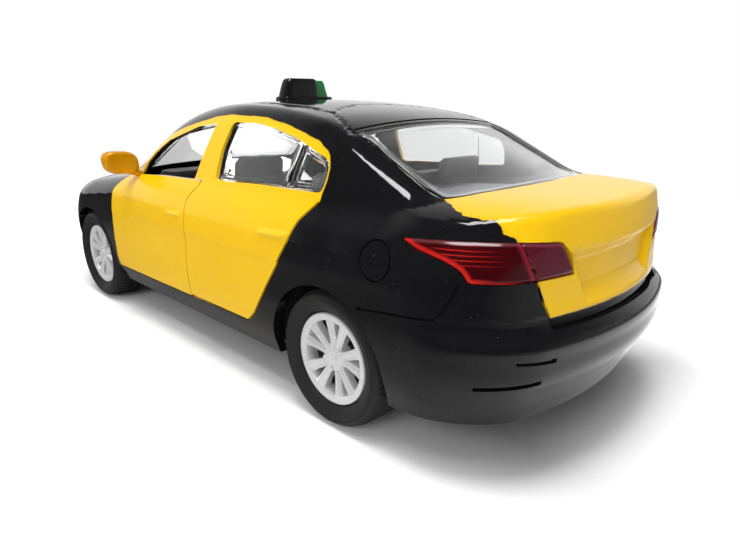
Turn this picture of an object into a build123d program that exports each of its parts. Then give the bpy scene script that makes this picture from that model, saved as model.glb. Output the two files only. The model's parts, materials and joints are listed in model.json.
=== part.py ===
"""Die-cast toy taxi, a four-door saloon with opening front doors and two rolling axles.

Frame: millimetres, +X forward, +Y to the car's left, +Z up.
The origin is on the ground, under the middle of the car's length.
Pieces for the left side are modelled once and mirrored to the right.
"""
from build123d import *
import os

os.makedirs("parts", exist_ok=True)

# ---------------------------------------------------------------- driving sizes
wall = 1.3                 # zinc shell
seam = 0.25                # gap round an opening door
fit = 0.1                  # lamps, grille and glass in their seats
bore_play = 0.05           # radial clearance of a shaft in its bore
contact_gap = 0.3          # running gap between a turning piece and its neighbours

rear_end = -60.8           # x of the rear bumper's face
front_end = 60.8           # x of the front bumper's face
shell_bottom = 6.2         # z of the lower edge of the shell
belt_z = 27.4              # z of the window sills
roof_z = 39.0              # z of the roof's crown

# sections of the lower body: x, half width at the bottom, widest half width, its height,
# half width at the shoulder, shoulder height, height on the centre line
LOWER_SECTIONS = [
    (-64.0, 21.6, 23.2, 17.5, 20.4, 27.1, 28.9),
    (-50.0, 21.8, 23.45, 18.0, 20.7, 27.3, 29.7),
    (-26.0, 22.0, 23.55, 18.0, 21.0, 27.4, 28.9),
    (6.0, 22.0, 23.55, 18.0, 21.2, 27.3, 28.2),
    (24.0, 22.0, 23.55, 17.0, 21.5, 26.2, 27.4),
    (42.0, 22.0, 23.4, 15.5, 21.4, 22.8, 24.9),
    (64.0, 21.6, 22.7, 13.5, 19.8, 16.4, 19.0),
]
# how far the rear and the front lie in from the bumpers' faces at each height: z, rear, front
END_LEVELS = [
    (3.0, 3.4, 4.2), (6.5, 3.0, 3.7), (8.0, 2.3, 2.3), (10.0, 1.3, 1.0), (12.0, 0.25, 0.25),
    (14.0, 0.0, 0.0), (16.4, 0.0, 0.7), (17.4, 1.3, 1.6), (20.0, 1.7, 4.6), (22.0, 1.8, 8.8),
    (23.2, 1.85, 11.8), (26.0, 1.95, 13.0), (28.0, 2.2, 13.5), (29.2, 3.2, 14.0), (44.0, 12.0, 20.0),
]
body_half = 23.6           # half width where the corners end
# plan of a corner: how far in from the bumper's face, y
REAR_CORNER = [(2.4, 15.0), (5.6, 20.0), (12.8, body_half)]
FRONT_CORNER = [(2.7, 13.0), (7.8, 19.0), (17.2, body_half)]
bow_fade = 0.045           # how much flatter the plan of an end gets per millimetre further in
slope_start_z = 13.0       # above this height the wall's inner face is lower as well as further in
slope_share = 0.8          # share of the wall by which it is lower and further in

# sections of the cabin: x, half width at its waist, half width at the roof rail, the rail's height,
# height on the centre line
CABIN_SECTIONS = [
    (-51.0, 18.6, 16.6, 26.8, 28.0),
    (-46.0, 20.4, 17.4, 28.6, 30.3),
    (-38.0, 21.3, 17.8, 31.4, 33.7),
    (-30.0, 22.2, 17.7, 35.0, 36.6),
    (-20.0, 22.3, 17.1, 36.4, 38.3),
    (-3.0, 22.3, 16.9, 36.7, roof_z),
    (6.0, 22.3, 17.1, 36.0, 38.2),
    (12.0, 22.2, 17.5, 34.3, 36.6),
    (18.0, 21.8, 17.9, 30.9, 33.6),
    (26.0, 20.6, 17.0, 26.9, 29.2),
    (30.0, 19.0, 15.5, 25.5, 26.5),
]
cabin_foot_z = 22.0        # the cabin solid starts inside the lower body
cabin_waist_z = 24.0       # where its sides start to lean in

# wheels and axles
rear_axle_x = -33.9
front_axle_x = 36.8
tyre_radius = 8.85
tyre_width = 6.4
wheel_face_y = 22.2        # outer face of each tyre
rim_radius = 6.0
axle_radius = 1.0
arch_radius = 10.2
rear_arch = (-33.2, 8.0)
front_arch = (37.4, 8.2)
well_inner_y = 13.0        # inner wall of each wheel well
well_wall = 0.8

# doors
hinge_x = 24.2
hinge_y = 20.7
pin_radius = 0.55
boss_radius = 1.1
door_sweep = 3.47          # radius the door's front edge needs round the pin
upper_sweep = 3.0          # the same above the waist, where the door is narrower
waist_z = 21.0
sweep_top = 25.3
door_low = 8.8             # z of the door's lower edge
knuckle_low = 12.0
knuckle_high = 20.0
pin_low = 7.0
pin_high = 25.0
# front door outline: x, z
DOOR_OUTLINE = [
    (26.2, door_low), (25.95, 16.0), (25.5, 21.5), (24.6, 24.0), (22.8, 26.0), (17.6, 28.0),
    (17.0, 26.8), (9.0, 27.2), (-3.4, 27.4), (-1.8, 24.6), (-1.5, 18.0), (-1.1, 12.0), (-1.1, 9.2),
]
# window outlines: x, z
FRONT_WINDOW = [
    (17.4, 26.4), (16.4, 28.7), (14.4, 30.3), (9.6, 32.7), (1.4, 35.2), (-3.6, 35.8), (-1.6, 26.8),
]
REAR_WINDOW = [
    (-7.2, 27.8), (-7.2, 32.0), (-8.0, 36.0), (-14.0, 36.0), (-23.5, 34.5), (-30.2, 32.4),
    (-30.9, 30.6), (-30.4, 28.7), (-16.0, 28.2),
]
# front and rear glass in plan: x, half width
WINDSCREEN_PLAN = [(28.8, 17.4), (11.5, 14.6)]
BACKLIGHT_PLAN = [(-30.2, 14.8), (-45.4, 17.0)]
glass_wall = 0.8

# lamps, grille and sign
tail_lamp_x = -44.8        # x of the lamp's forward tip
# tail lamp seen from behind: y, z
TAIL_LAMP_OUTLINE = [(9.8, 22.0), (12.4, 25.7), (20.0, 26.1), (24.5, 26.1), (24.5, 24.6), (20.6, 21.9)]
headlamp_x = 44.0
# headlamp seen from ahead: y, z
HEADLAMP_OUTLINE = [(11.5, 15.6), (12.5, 19.0), (18.0, 21.4), (24.5, 23.4), (24.5, 21.0), (20.0, 16.6)]
GRILLE_OUTLINE = [(10.8, 15.6), (11.6, 18.4), (-11.6, 18.4), (-10.8, 15.6)]
sign_x = -2.6
sign_width = 9.2
sign_base_width = 10.4
sign_depth = 2.6
sign_base_depth = 3.8
sign_base_thick = 0.5
sign_height = 2.9
sign_lamp_width = 2.2
sign_taper = 1.2           # how far the sign's ends lean in over its height
mirror_reach = 0.8         # from the widest point of the side to the mirror's middle
mirror_centre = (18.4, body_half + mirror_reach, 28.4)
mirror_size = (2.6, 5.2, 3.4)

# base and interior
base_z = 6.4               # underside of the base plate
base_thick = 1.2
base_half = 19.3           # half width of the base plate
recess = 0.2               # how far screws and motor stay inside the underside
tub_floor_z = 10.4
tub_wall = 1.0
tub_half = 17.2
tub_rear_x = -21.5
tub_front_x = 24.0
seat_y = tub_half / 2 - 0.4     # middle of each front seat and of the steering wheel
seat_width = tub_half * 0.64
motor_size = (15.0, 13.0, 11.5)
screw_x = 49.0
screw_radius = 1.6
screw_head_top = 0.7       # top of the screw heads above the underside

far = 80.0                 # reach of a cutting tool past the car


# ---------------------------------------------------------------- helpers
def side_prism(points, y_near, y_far):
    """Outline given in x and z, carried from one y to another."""
    face = make_face(Polyline([(x, y_near, z) for x, z in points], close=True))
    return extrude(face, amount=y_far - y_near, dir=(0, 1, 0))


def plan_prism(points, z_low, z_high):
    """Outline given in x and y, carried from one height to another."""
    face = make_face(Polyline([(x, y, z_low) for x, y in points], close=True))
    return extrude(face, amount=z_high - z_low, dir=(0, 0, 1))


def rear_prism(points, x_rear, x_front):
    """Outline given in y and z, carried along x."""
    face = make_face(Polyline([(x_rear, y, z) for y, z in points], close=True))
    return extrude(face, amount=x_front - x_rear, dir=(1, 0, 0))


def box(x_low, x_high, y_low, y_high, z_low, z_high):
    """Box between two corners."""
    middle = ((x_low + x_high) / 2, (y_low + y_high) / 2, (z_low + z_high) / 2)
    return Pos(*middle) * Box(x_high - x_low, y_high - y_low, z_high - z_low)


def cross_rod(x, z, radius, y_low, y_high):
    """Cylinder along y."""
    return Pos(x, (y_low + y_high) / 2, z) * Rot(90, 0, 0) * Cylinder(radius, y_high - y_low)


def post(x, y, radius, z_low, z_high):
    """Cylinder along z."""
    return Pos(x, y, (z_low + z_high) / 2) * Cylinder(radius, z_high - z_low)


def to_right(shape):
    """The same piece on the car's right side."""
    return mirror(shape, about=Plane.XZ)


def both(shape):
    """The piece and its mirror image."""
    return shape + to_right(shape)


# ---------------------------------------------------------------- outer forms
def lower_section(row, inset, bottom):
    """One closed section across the lower body."""
    x, half_low, half_wide, wide_z, half_top, shoulder_z, deck_z = row
    low = (x, half_low - inset, bottom)
    wide = (x, half_wide - inset, wide_z)
    top = (x, half_top - inset, shoulder_z - inset * 0.6)
    deck = (x, 0, deck_z - inset)
    wide_right = (x, inset - half_wide, wide_z)
    low_right = (x, inset - half_low, bottom)
    top_right = (x, inset - half_top, shoulder_z - inset * 0.6)
    edges = [
        Line(low_right, low),
        ThreePointArc(low, wide, top),
        ThreePointArc(top, deck, top_right),
        ThreePointArc(top_right, wide_right, low_right),
    ]
    return make_face(edges)


def end_points(corner, face_x, way, inward, inset):
    """Middle of an end's bow and three points of its left corner, as x and y."""
    flat = 1 - bow_fade * inward
    start_x = face_x + way * (inward + inset)
    (in_a, y_a), (in_b, y_b), (in_c, y_c) = corner
    bow_end = (start_x + way * in_a * flat, y_a - 0.3 * inset)
    middle = (start_x + way * (in_b * flat - 0.3 * inset), y_b - 0.7 * inset)
    corner_end = (start_x + way * (in_c * flat - inset), y_c - inset)
    return (start_x, 0.0), bow_end, middle, corner_end


def body_plan(level, inset):
    """Plan of the body at one height, with bowed ends and rounded corners."""
    z, rear_in, front_in = level
    if z > slope_start_z:
        z -= slope_share * inset
        inset *= slope_share
    rear = [Vector(x, y, z) for x, y in end_points(REAR_CORNER, rear_end, 1, rear_in, inset)]
    front = [Vector(x, y, z) for x, y in end_points(FRONT_CORNER, front_end, -1, front_in, inset)]
    rear_right = [Vector(point.X, -point.Y, z) for point in rear]
    front_right = [Vector(point.X, -point.Y, z) for point in front]
    return make_face([
        ThreePointArc(rear_right[1], rear[0], rear[1]),
        ThreePointArc(rear[1], rear[2], rear[3]),
        Line(rear[3], front[3]),
        ThreePointArc(front[3], front[2], front[1]),
        ThreePointArc(front[1], front[0], front_right[1]),
        ThreePointArc(front_right[1], front_right[2], front_right[3]),
        Line(front_right[3], rear_right[3]),
        ThreePointArc(rear_right[3], rear_right[2], rear_right[1]),
    ])


def lower_form(inset, bottom):
    """Lower body, the outer form or the form inset by a wall."""
    sections = [lower_section(row, inset, bottom) for row in LOWER_SECTIONS]
    return loft(sections) & loft([body_plan(level, inset) for level in END_LEVELS], ruled=True)


def cabin_section(row, inset):
    """One closed section across the cabin."""
    x, half_waist, half_rail, rail_z, top_z = row
    half_waist, half_rail = half_waist - inset, half_rail - 0.8 * inset
    rail_z, top_z = rail_z - 0.9 * inset, top_z - 1.1 * inset
    foot, waist, rail = (x, half_waist, cabin_foot_z), (x, half_waist, cabin_waist_z), (x, half_rail, rail_z)
    foot_right, waist_right, rail_right = [(x, -y, z) for x, y, z in (foot, waist, rail)]
    return make_face([
        Line(foot_right, foot),
        Line(foot, waist),
        Line(waist, rail),
        ThreePointArc(rail, (x, 0, top_z), rail_right),
        Line(rail_right, waist_right),
        Line(waist_right, foot_right),
    ])


def cabin_form(inset):
    """Cabin above the belt, the outer form or the form inset by a wall."""
    return loft([cabin_section(row, inset) for row in CABIN_SECTIONS])


def grow(points, margin):
    """Outline with every corner moved out by a margin, for a convex-like outline."""
    wire = Polyline([(x, z) for x, z in points], close=True)
    face = make_face(wire)
    larger = offset(face, amount=margin, kind=Kind.INTERSECTION)
    return larger


def side_prism_grown(points, margin, y_near, y_far):
    """Side outline grown by a margin and carried along y."""
    face = Plane.XZ * grow(points, margin)
    return Pos(0, y_near, 0) * extrude(face, amount=y_far - y_near, dir=(0, 1, 0))


outer = lower_form(0, shell_bottom) + cabin_form(0)
inner = lower_form(wall, shell_bottom - 3) + cabin_form(wall)
skin = outer - inner

door_reach = (16.0, 30.0)  # y range of the door cut


# ---------------------------------------------------------------- shell
def hinge_bosses():
    """Lower boss on the sill and upper boss under the cowl, for the door pin."""
    lower = post(hinge_x, hinge_y, boss_radius, shell_bottom, knuckle_low - contact_gap)
    foot = box(hinge_x - boss_radius, hinge_x + boss_radius, hinge_y, 22.2, shell_bottom, 8.3)
    upper = post(hinge_x, hinge_y, boss_radius, knuckle_high + contact_gap, 27.0)
    return lower + foot + upper


def lamp_cut(outline, x_low, x_high, margin):
    """Space of a lamp from one end of the car."""
    face = Plane.YZ * offset(make_face(Polyline(outline, close=True)), amount=margin, kind=Kind.INTERSECTION)
    return Pos(x_low, 0, 0) * extrude(face, amount=x_high - x_low, dir=(1, 0, 0))


def body_shell():
    """One-piece zinc body: wings, bonnet, boot, roof, pillars, sills and rear doors."""
    shell = skin
    sweep = post(hinge_x, hinge_y, door_sweep, door_low - seam, waist_z)
    sweep += post(hinge_x, hinge_y, upper_sweep, waist_z, sweep_top)
    cuts = [
        both(side_prism_grown(DOOR_OUTLINE, seam, *door_reach)),
        both(sweep),
        both(side_prism(FRONT_WINDOW, *door_reach)),
        both(side_prism(REAR_WINDOW, *door_reach)),
        glass_plan(WINDSCREEN_PLAN, 0),
        glass_plan(BACKLIGHT_PLAN, 0),
        both(cross_rod(rear_arch[0], rear_arch[1], arch_radius, 15.0, 30.0)),
        both(cross_rod(front_arch[0], front_arch[1], arch_radius, 15.0, 30.0)),
        both(lamp_cut(TAIL_LAMP_OUTLINE, rear_end - 3, tail_lamp_x, fit)),
        both(lamp_cut(HEADLAMP_OUTLINE, headlamp_x, front_end + 3, fit)),
        lamp_cut(GRILLE_OUTLINE, headlamp_x, front_end + 3, fit),
    ]
    for cut in cuts:
        shell = shell - cut
    shell = shell + both(hinge_bosses() & outer) + screw_posts(base_z + base_thick)
    return largest(shell - both(post(hinge_x, hinge_y, pin_radius, pin_low, pin_high)))


def screw_posts(z_low):
    """Two posts under the bonnet and boot that take the base screws."""
    posts = None
    for x, z_high in ((screw_x, 22.5), (-screw_x, 27.6)):
        one = post(x, 0, screw_radius + 1.2, z_low, z_high) - post(x, 0, screw_radius * 0.6, z_low, z_low + 8)
        posts = one if posts is None else posts + one
    return posts


def glass_plan(rows, margin):
    """Column above a front or rear glass, from its plan."""
    (x_a, half_a), (x_b, half_b) = rows
    front = x_a if x_a > x_b else x_b
    sign = 1 if front == x_a else -1
    x_a, x_b = x_a + sign * margin, x_b - sign * margin
    half_a, half_b = half_a + margin, half_b + margin
    points = [(x_a, half_a), (x_b, half_b), (x_b, -half_b), (x_a, -half_a)]
    return plan_prism(points, belt_z - 0.6, far)


# ---------------------------------------------------------------- doors
def door_left():
    """Front door skin with its hinge knuckle."""
    panel = skin & side_prism(DOOR_OUTLINE, *door_reach)
    for z_low, z_high in ((shell_bottom, knuckle_low), (knuckle_high, far)):
        panel -= post(hinge_x, hinge_y, boss_radius + contact_gap, z_low, z_high)
    knuckle = post(hinge_x, hinge_y, boss_radius, knuckle_low, knuckle_high)
    web = box(hinge_x - 0.8, hinge_x + 0.8, hinge_y, 22.6, knuckle_low, knuckle_high)
    arm = (knuckle + web) - post(hinge_x, hinge_y, pin_radius + bore_play, knuckle_low - 1, knuckle_high + 1)
    return panel + arm


def mirror_left():
    """Door mirror housing and its foot on the door's corner."""
    x, y, z = mirror_centre
    length, width, height = mirror_size
    housing = Pos(x, y, z) * fillet(Box(length, width, height).edges(), 0.9)
    foot = box(x - 0.9, x + 0.9, 21.4, y, z - height / 2 - 0.2, z - height / 2 + 0.9)
    return (housing + foot) - outer


# ---------------------------------------------------------------- glass and lamps
def window_insert():
    """One clear moulding: windscreen, rear glass and both rear side windows."""
    layer = cabin_form(wall) - cabin_form(wall + glass_wall)
    layer -= box(-far, far, -far, far, 0, belt_z + 0.4)
    layer -= both(box(-5.6, 20.0, 12.0, far, 0, 36.6))
    panes = glass_plan(WINDSCREEN_PLAN, -fit) + glass_plan(BACKLIGHT_PLAN, -fit)
    panes += both(side_prism_grown(REAR_WINDOW, -fit, *door_reach))
    panes &= cabin_form(0) - cabin_form(wall + glass_wall)
    panes -= box(-far, far, -far, far, 0, belt_z + 0.4)
    return largest(layer + panes)


def largest(shape):
    """The biggest solid of a shape, without slivers that a cut may leave."""
    return max(shape.solids(), key=lambda solid: solid.volume)


def tail_lamp_left():
    """Tail lamp that fills its recess in the corner of the boot."""
    return largest(skin & lamp_cut(TAIL_LAMP_OUTLINE, rear_end - 3, tail_lamp_x - fit, 0))


def headlamp_left():
    """Headlamp in the corner of the nose."""
    return largest(skin & lamp_cut(HEADLAMP_OUTLINE, headlamp_x + fit, front_end + 3, 0))


def grille():
    """Grille between the headlamps."""
    return largest(skin & lamp_cut(GRILLE_OUTLINE, headlamp_x, front_end + 3, 0))


# ---------------------------------------------------------------- base
def wheel_well(x, z, reach):
    """Half-round well over one left wheel, closed on its inner side."""
    outer_y = 21.4
    solid = cross_rod(x, z, reach + well_wall, well_inner_y - well_wall, outer_y)
    hollow = cross_rod(x, z, reach, well_inner_y, outer_y + 1)
    return (solid - hollow) - box(-far, far, -far, far, -far, base_z + base_thick)


def chassis_base():
    """Black plastic base: plate, wheel wells and axle bearings."""
    plate = box(rear_end, front_end, -base_half, base_half, base_z, base_z + base_thick)
    base = plate + both(wheel_well(*rear_arch, arch_radius + 0.3))
    base += both(wheel_well(*front_arch, arch_radius + 0.3))
    for x, z in ((rear_axle_x, tyre_radius), (front_axle_x, tyre_radius)):
        slot = box(x - tyre_radius - 1.2, x + tyre_radius + 1.2, well_inner_y, 30.0, 0, base_z + base_thick)
        base -= both(slot)
        bearing = box(x - 2.2, x + 2.2, 10.6, well_inner_y - well_wall / 2, base_z, z + 2.2)
        base += both(bearing)
        base -= cross_rod(x, z, axle_radius + bore_play, -30, 30)
    base -= outside_of_cavity()
    base -= both(post(hinge_x, hinge_y, door_sweep + contact_gap, door_low - seam, far))
    for x in (screw_x, -screw_x):
        base -= post(x, 0, screw_radius * 0.6 + fit, 0, 9)
        base -= post(x, 0, screw_radius + fit, 0, base_z + screw_head_top)
    base -= motor_pocket(fit)
    base += both(tub_posts())
    return base


def outside_of_cavity():
    """Everything outside the inner face of the shell."""
    block = box(-far, far, -far, far, -5, far)
    return block - lower_form(wall + fit, base_z - 3)


def tub_posts():
    """Two posts that carry the front of the interior."""
    posts = post(18.0, 12.0, 1.6, base_z + base_thick / 2, tub_floor_z)
    return posts + post(-16.0, 12.0, 1.6, base_z + base_thick / 2, tub_floor_z)


def motor_pocket(margin):
    """Space of the pull-back motor."""
    length, width, height = motor_size
    x_front = rear_axle_x + 4.5
    half = width / 2 + margin
    z_low = base_z + recess - 2 * margin
    return box(x_front - length - margin, x_front + margin, -half, half, z_low, z_low + height)


def pullback_motor():
    """Pull-back motor as one block that the rear axle passes through."""
    return motor_pocket(0) - cross_rod(rear_axle_x, tyre_radius, axle_radius + bore_play, -30, 30)


def base_screw(x):
    """Screw that holds the base to its post."""
    seat_z = base_z + screw_head_top
    head = post(x, 0, screw_radius, base_z + recess, seat_z)
    return head + post(x, 0, screw_radius * 0.6, seat_z, seat_z + 5)


# ---------------------------------------------------------------- interior
def seat(x, y, width):
    """Seat with a cushion and a leaning back, standing on the floor."""
    cushion = box(x - 3.5, x + 6.5, y - width / 2, y + width / 2, tub_floor_z, tub_floor_z + 5.0)
    back = side_prism([
        (x - 3.0, tub_floor_z), (x + 0.2, tub_floor_z + 4.0), (x - 3.6, tub_floor_z + 17.5),
        (x - 5.8, tub_floor_z + 18.3), (x - 7.2, tub_floor_z + 16.5), (x - 5.0, tub_floor_z),
    ], y - width / 2, y + width / 2)
    return cushion + back


def interior_tub():
    """One grey moulding: floor, two front seats, rear bench and dashboard."""
    floor = box(tub_rear_x, tub_front_x, -tub_half, tub_half, tub_floor_z, tub_floor_z + tub_wall)
    dash = side_prism([
        (tub_front_x, tub_floor_z), (tub_front_x, 25.4), (19.5, 26.0), (15.5, 24.4), (16.6, 20.0),
        (tub_front_x - 2.0, tub_floor_z),
    ], -tub_half, tub_half)
    bench = box(-18.0, -8.0, -tub_half, tub_half, tub_floor_z, tub_floor_z + 5.5)
    bench_back = side_prism([
        (-15.5, tub_floor_z), (-18.6, 27.6), (-20.8, 27.6), (tub_rear_x, tub_floor_z),
    ], -tub_half, tub_half)
    tub = floor + dash + bench + bench_back
    for y in (-seat_y, seat_y):
        tub += seat(1.5, y, seat_width)
    return tub


def steering_wheel():
    """Wheel and column on the driver's side of the dashboard."""
    rim = Torus(3.6, 0.45)
    hub = Cylinder(0.9, 1.0)
    spokes = Box(7.2, 0.9, 0.7) + Pos(0, -1.8, 0) * Box(0.9, 3.6, 0.7)
    column = Pos(0, 0, -2.2) * Cylinder(0.55, 4.4)
    tilt = Pos(13.2, seat_y, 24.4) * Rot(0, -62, 0) * Rot(0, 0, 90)
    return tilt * (rim + hub + spokes + column) - interior_tub()


# ---------------------------------------------------------------- sign
def roof_sign():
    """Black sign box on a flange."""
    base = box(sign_x - sign_base_depth / 2, sign_x + sign_base_depth / 2,
               -sign_base_width / 2, sign_base_width / 2, roof_z - 0.9, roof_z + sign_base_thick)
    top_z = roof_z + sign_base_thick + sign_height
    low_z = roof_z + sign_base_thick
    outline = [
        (sign_width / 2, low_z), (sign_width / 2 - sign_taper, top_z), (-sign_width / 2 + sign_lamp_width, top_z),
        (-sign_width / 2 + sign_lamp_width, low_z),
    ]
    block = rear_prism(outline, sign_x - sign_depth / 2, sign_x + sign_depth / 2)
    return (base + block) - outer


def roof_sign_lamp():
    """Green lamp at the sign's right end."""
    top_z = roof_z + sign_base_thick + sign_height
    low_z = roof_z + sign_base_thick
    inner_y = -sign_width / 2 + sign_lamp_width
    outline = [
        (inner_y, low_z), (inner_y, top_z - 0.2), (sign_taper - sign_width / 2, top_z - 0.2),
        (-sign_width / 2, low_z),
    ]
    return rear_prism(outline, sign_x - sign_depth / 2 + 0.1, sign_x + sign_depth / 2 - 0.1)


# ---------------------------------------------------------------- wheels
def rim(x, side):
    """Dished rim with a hub that is pressed on the axle."""
    inner_y = wheel_face_y - tyre_width
    barrel = cross_rod(x, tyre_radius, rim_radius, inner_y + 0.5, wheel_face_y - 0.2)
    barrel -= cross_rod(x, tyre_radius, rim_radius - 0.9, wheel_face_y - 2.0, wheel_face_y)
    hub = cross_rod(x, tyre_radius, 1.7, wheel_face_y - 2.4, wheel_face_y - 0.9)
    spokes = None
    for index in range(5):
        turn = Pos(x, wheel_face_y - 1.5, tyre_radius) * Rot(0, 72 * index, 0)
        arm = turn * Pos(3.1, 0, 0) * Box(4.8, 1.2, 1.5)
        spokes = arm if spokes is None else spokes + arm
    one = barrel + hub + spokes
    one -= cross_rod(x, tyre_radius, axle_radius, 0, wheel_face_y - 1.6)
    return one if side > 0 else to_right(one)


def tyre(x, side):
    """Plain tyre round its rim."""
    inner_y = wheel_face_y - tyre_width
    ring = cross_rod(x, tyre_radius, tyre_radius, inner_y, wheel_face_y)
    ring = chamfer(ring.edges().filter_by(GeomType.CIRCLE), 0.8)
    ring -= cross_rod(x, tyre_radius, rim_radius, inner_y - 1, wheel_face_y + 1)
    return ring if side > 0 else to_right(ring)


def axle(x):
    """Steel rod from wheel to wheel."""
    end = wheel_face_y - 1.7
    return cross_rod(x, tyre_radius, axle_radius, -end, end)


# ---------------------------------------------------------------- export
nodes = {
    "body_shell": body_shell(),
    "chassis_base": chassis_base(),
    "interior_tub": interior_tub(),
    "steering_wheel": steering_wheel(),
    "window_insert": window_insert(),
    "grille": grille(),
    "roof_sign": roof_sign(),
    "roof_sign_lamp": roof_sign_lamp(),
    "pullback_motor": pullback_motor(),
    "front_axle": axle(front_axle_x),
    "rear_axle": axle(rear_axle_x),
    "base_screw_front": base_screw(screw_x),
    "base_screw_rear": base_screw(-screw_x),
}
left_pieces = {
    "door": door_left(),
    "mirror": mirror_left(),
    "door_pin": post(hinge_x, hinge_y, pin_radius, pin_low, pin_high),
    "tail_lamp": tail_lamp_left(),
    "headlamp": headlamp_left(),
}
for name, piece in left_pieces.items():
    nodes[name + "_left"] = piece
    nodes[name + "_right"] = to_right(piece)
for end, x in (("front", front_axle_x), ("rear", rear_axle_x)):
    for side_name, side in (("left", 1), ("right", -1)):
        nodes["rim_" + end + "_" + side_name] = rim(x, side)
        nodes["tyre_" + end + "_" + side_name] = tyre(x, side)
for name, piece in nodes.items():
    export_step(piece, os.path.join("parts", name + ".step"))
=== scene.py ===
"""Looks of a die-cast toy taxi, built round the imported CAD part.

The body's skin is one smooth form, given by short tables and worked out on a grid. Doors, lamps, glass
and trim follow that same form, so that they line up. Lengths are in millimetres until a mesh is made.
"""
import json
import math

import bmesh
import bpy
import numpy as np
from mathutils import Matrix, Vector

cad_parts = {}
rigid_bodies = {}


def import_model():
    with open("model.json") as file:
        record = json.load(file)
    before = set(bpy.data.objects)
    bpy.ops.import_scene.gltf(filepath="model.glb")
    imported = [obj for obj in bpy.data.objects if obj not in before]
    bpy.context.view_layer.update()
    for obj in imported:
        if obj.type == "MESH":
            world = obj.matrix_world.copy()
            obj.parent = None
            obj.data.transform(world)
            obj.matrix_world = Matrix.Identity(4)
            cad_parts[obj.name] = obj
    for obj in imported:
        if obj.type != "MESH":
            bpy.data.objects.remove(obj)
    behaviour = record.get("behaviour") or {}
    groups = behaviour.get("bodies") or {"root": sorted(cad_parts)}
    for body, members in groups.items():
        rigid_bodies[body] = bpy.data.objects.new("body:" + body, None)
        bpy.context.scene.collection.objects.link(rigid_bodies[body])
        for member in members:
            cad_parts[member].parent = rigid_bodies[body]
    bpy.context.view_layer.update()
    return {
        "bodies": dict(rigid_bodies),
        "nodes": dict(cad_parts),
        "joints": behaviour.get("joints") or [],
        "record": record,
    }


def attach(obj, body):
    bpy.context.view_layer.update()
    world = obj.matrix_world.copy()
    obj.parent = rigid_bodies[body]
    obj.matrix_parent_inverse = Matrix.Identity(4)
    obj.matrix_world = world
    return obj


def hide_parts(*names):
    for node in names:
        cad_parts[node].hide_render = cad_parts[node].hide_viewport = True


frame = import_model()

MM = 0.001
BODY = "body"
ALONG, ACROSS, UP = 0, 1, 2     # the car's axes

# ------------------------------------------------------------------ body tables
# height, half width of the car's side
SIDE = [(5, 21.7), (7, 22.3), (9, 22.9), (13, 23.35), (17, 23.45), (21, 23.3), (23.5, 22.9), (25.5, 22.1),
        (27.3, 21.1), (31, 19.7), (36, 17.4), (39, 15.7), (42, 14.0)]
# height, x of the tail on the centre line
TAIL = [(5, -57.0), (7.5, -58.3), (10, -59.5), (11.8, -60.5), (12.6, -60.75), (14, -60.78), (16.3, -60.6),
        (17.2, -59.7), (19, -59.3), (22, -59.1), (25.5, -59.0), (28, -58.6), (30, -58.2), (34, -57.0)]
# height, x of the nose on the centre line
NOSE = [(5, 56.0), (7.5, 57.8), (10, 59.8), (13, 60.7), (16, 60.3), (18.5, 58.8), (21, 56.4), (24, 52.0),
        (30, 43.0)]
# x, height of bonnet, belt and boot lid on the centre line
DECK = [(-64, 27.4), (-58, 28.9), (-52, 29.5), (-46, 29.7), (-30, 29.2), (0, 28.0), (20, 27.3), (30, 26.6),
        (38, 25.6), (46, 23.9), (52, 22.0), (56, 20.3), (62, 17.0)]
# x, height of the cabin on the centre line
CABIN = [(-62, 22.5), (-54, 26.6), (-47.5, 29.6), (-38, 33.7), (-31.5, 36.2), (-27, 37.3), (-20, 38.3),
         (-10, 39.0), (-3, 39.0), (3, 38.5), (8, 37.5), (12, 36.2), (18, 33.3), (26, 29.1), (31, 26.3),
         (40, 21.0)]
TAIL_BOW = 5.7          # how far the tail's corners stay ahead of its middle
NOSE_BOW = 8.0          # how far the nose's corners stay behind its middle
BOW_HALF = 23.4         # half width at which both bows are given
TAIL_CORNER = 7.5       # corner radii in plan
NOSE_CORNER = 9.0
CABIN_FILLET = 0.8      # radius between the cabin and the body under it
SHELL_BOTTOM = 6.2      # height of the shell's lower edge
WALL = 1.3
SPINE_Z = 15.0          # line inside the body from which its skin is found
SPINE_REAR = -44.0
SPINE_FRONT = 42.0

# outlines on the car's side: x, height
FRONT_DOOR = [(23.0, 25.8), (25.2, 23.2), (25.6, 21.0), (25.9, 16.0), (26.2, 11.5), (26.1, 8.8),
              (-1.1, 9.2), (-1.0, 12.3), (-1.3, 16.0), (-1.7, 21.5), (-1.6, 24.0), (-2.0, 25.2),
              (-3.4, 26.8), (-3.6, 27.45), (-1.4, 27.4), (9.0, 27.1), (16.9, 26.6), (17.2, 28.2)]
FRONT_WINDOW = [(16.9, 26.2), (16.5, 28.6), (14.4, 30.25), (9.65, 32.6), (1.4, 35.1), (-3.6, 35.7),
                (-1.6, 27.5), (-1.6, 26.8)]
REAR_WINDOW = [(-7.2, 27.8), (-7.1, 32.1), (-7.9, 36.0), (-13.95, 36.0), (-18.8, 35.4), (-23.5, 34.5),
               (-29.8, 32.6), (-30.6, 32.0), (-30.85, 30.7), (-30.5, 28.6), (-24.3, 28.4), (-16.1, 28.2)]
# the two panes of the rear side window
REAR_PANE = [(-7.35, 27.95), (-7.25, 32.1), (-8.05, 35.85), (-13.95, 35.85), (-18.8, 35.25),
             (-23.5, 34.35), (-24.75, 34.0), (-24.35, 31.5), (-23.7, 28.55), (-16.1, 28.35)]
QUARTER_PANE = [(-25.0, 33.93), (-29.7, 32.45), (-30.45, 31.9), (-30.7, 30.7), (-30.35, 28.75),
                (-24.0, 28.55), (-24.6, 31.5)]
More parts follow.
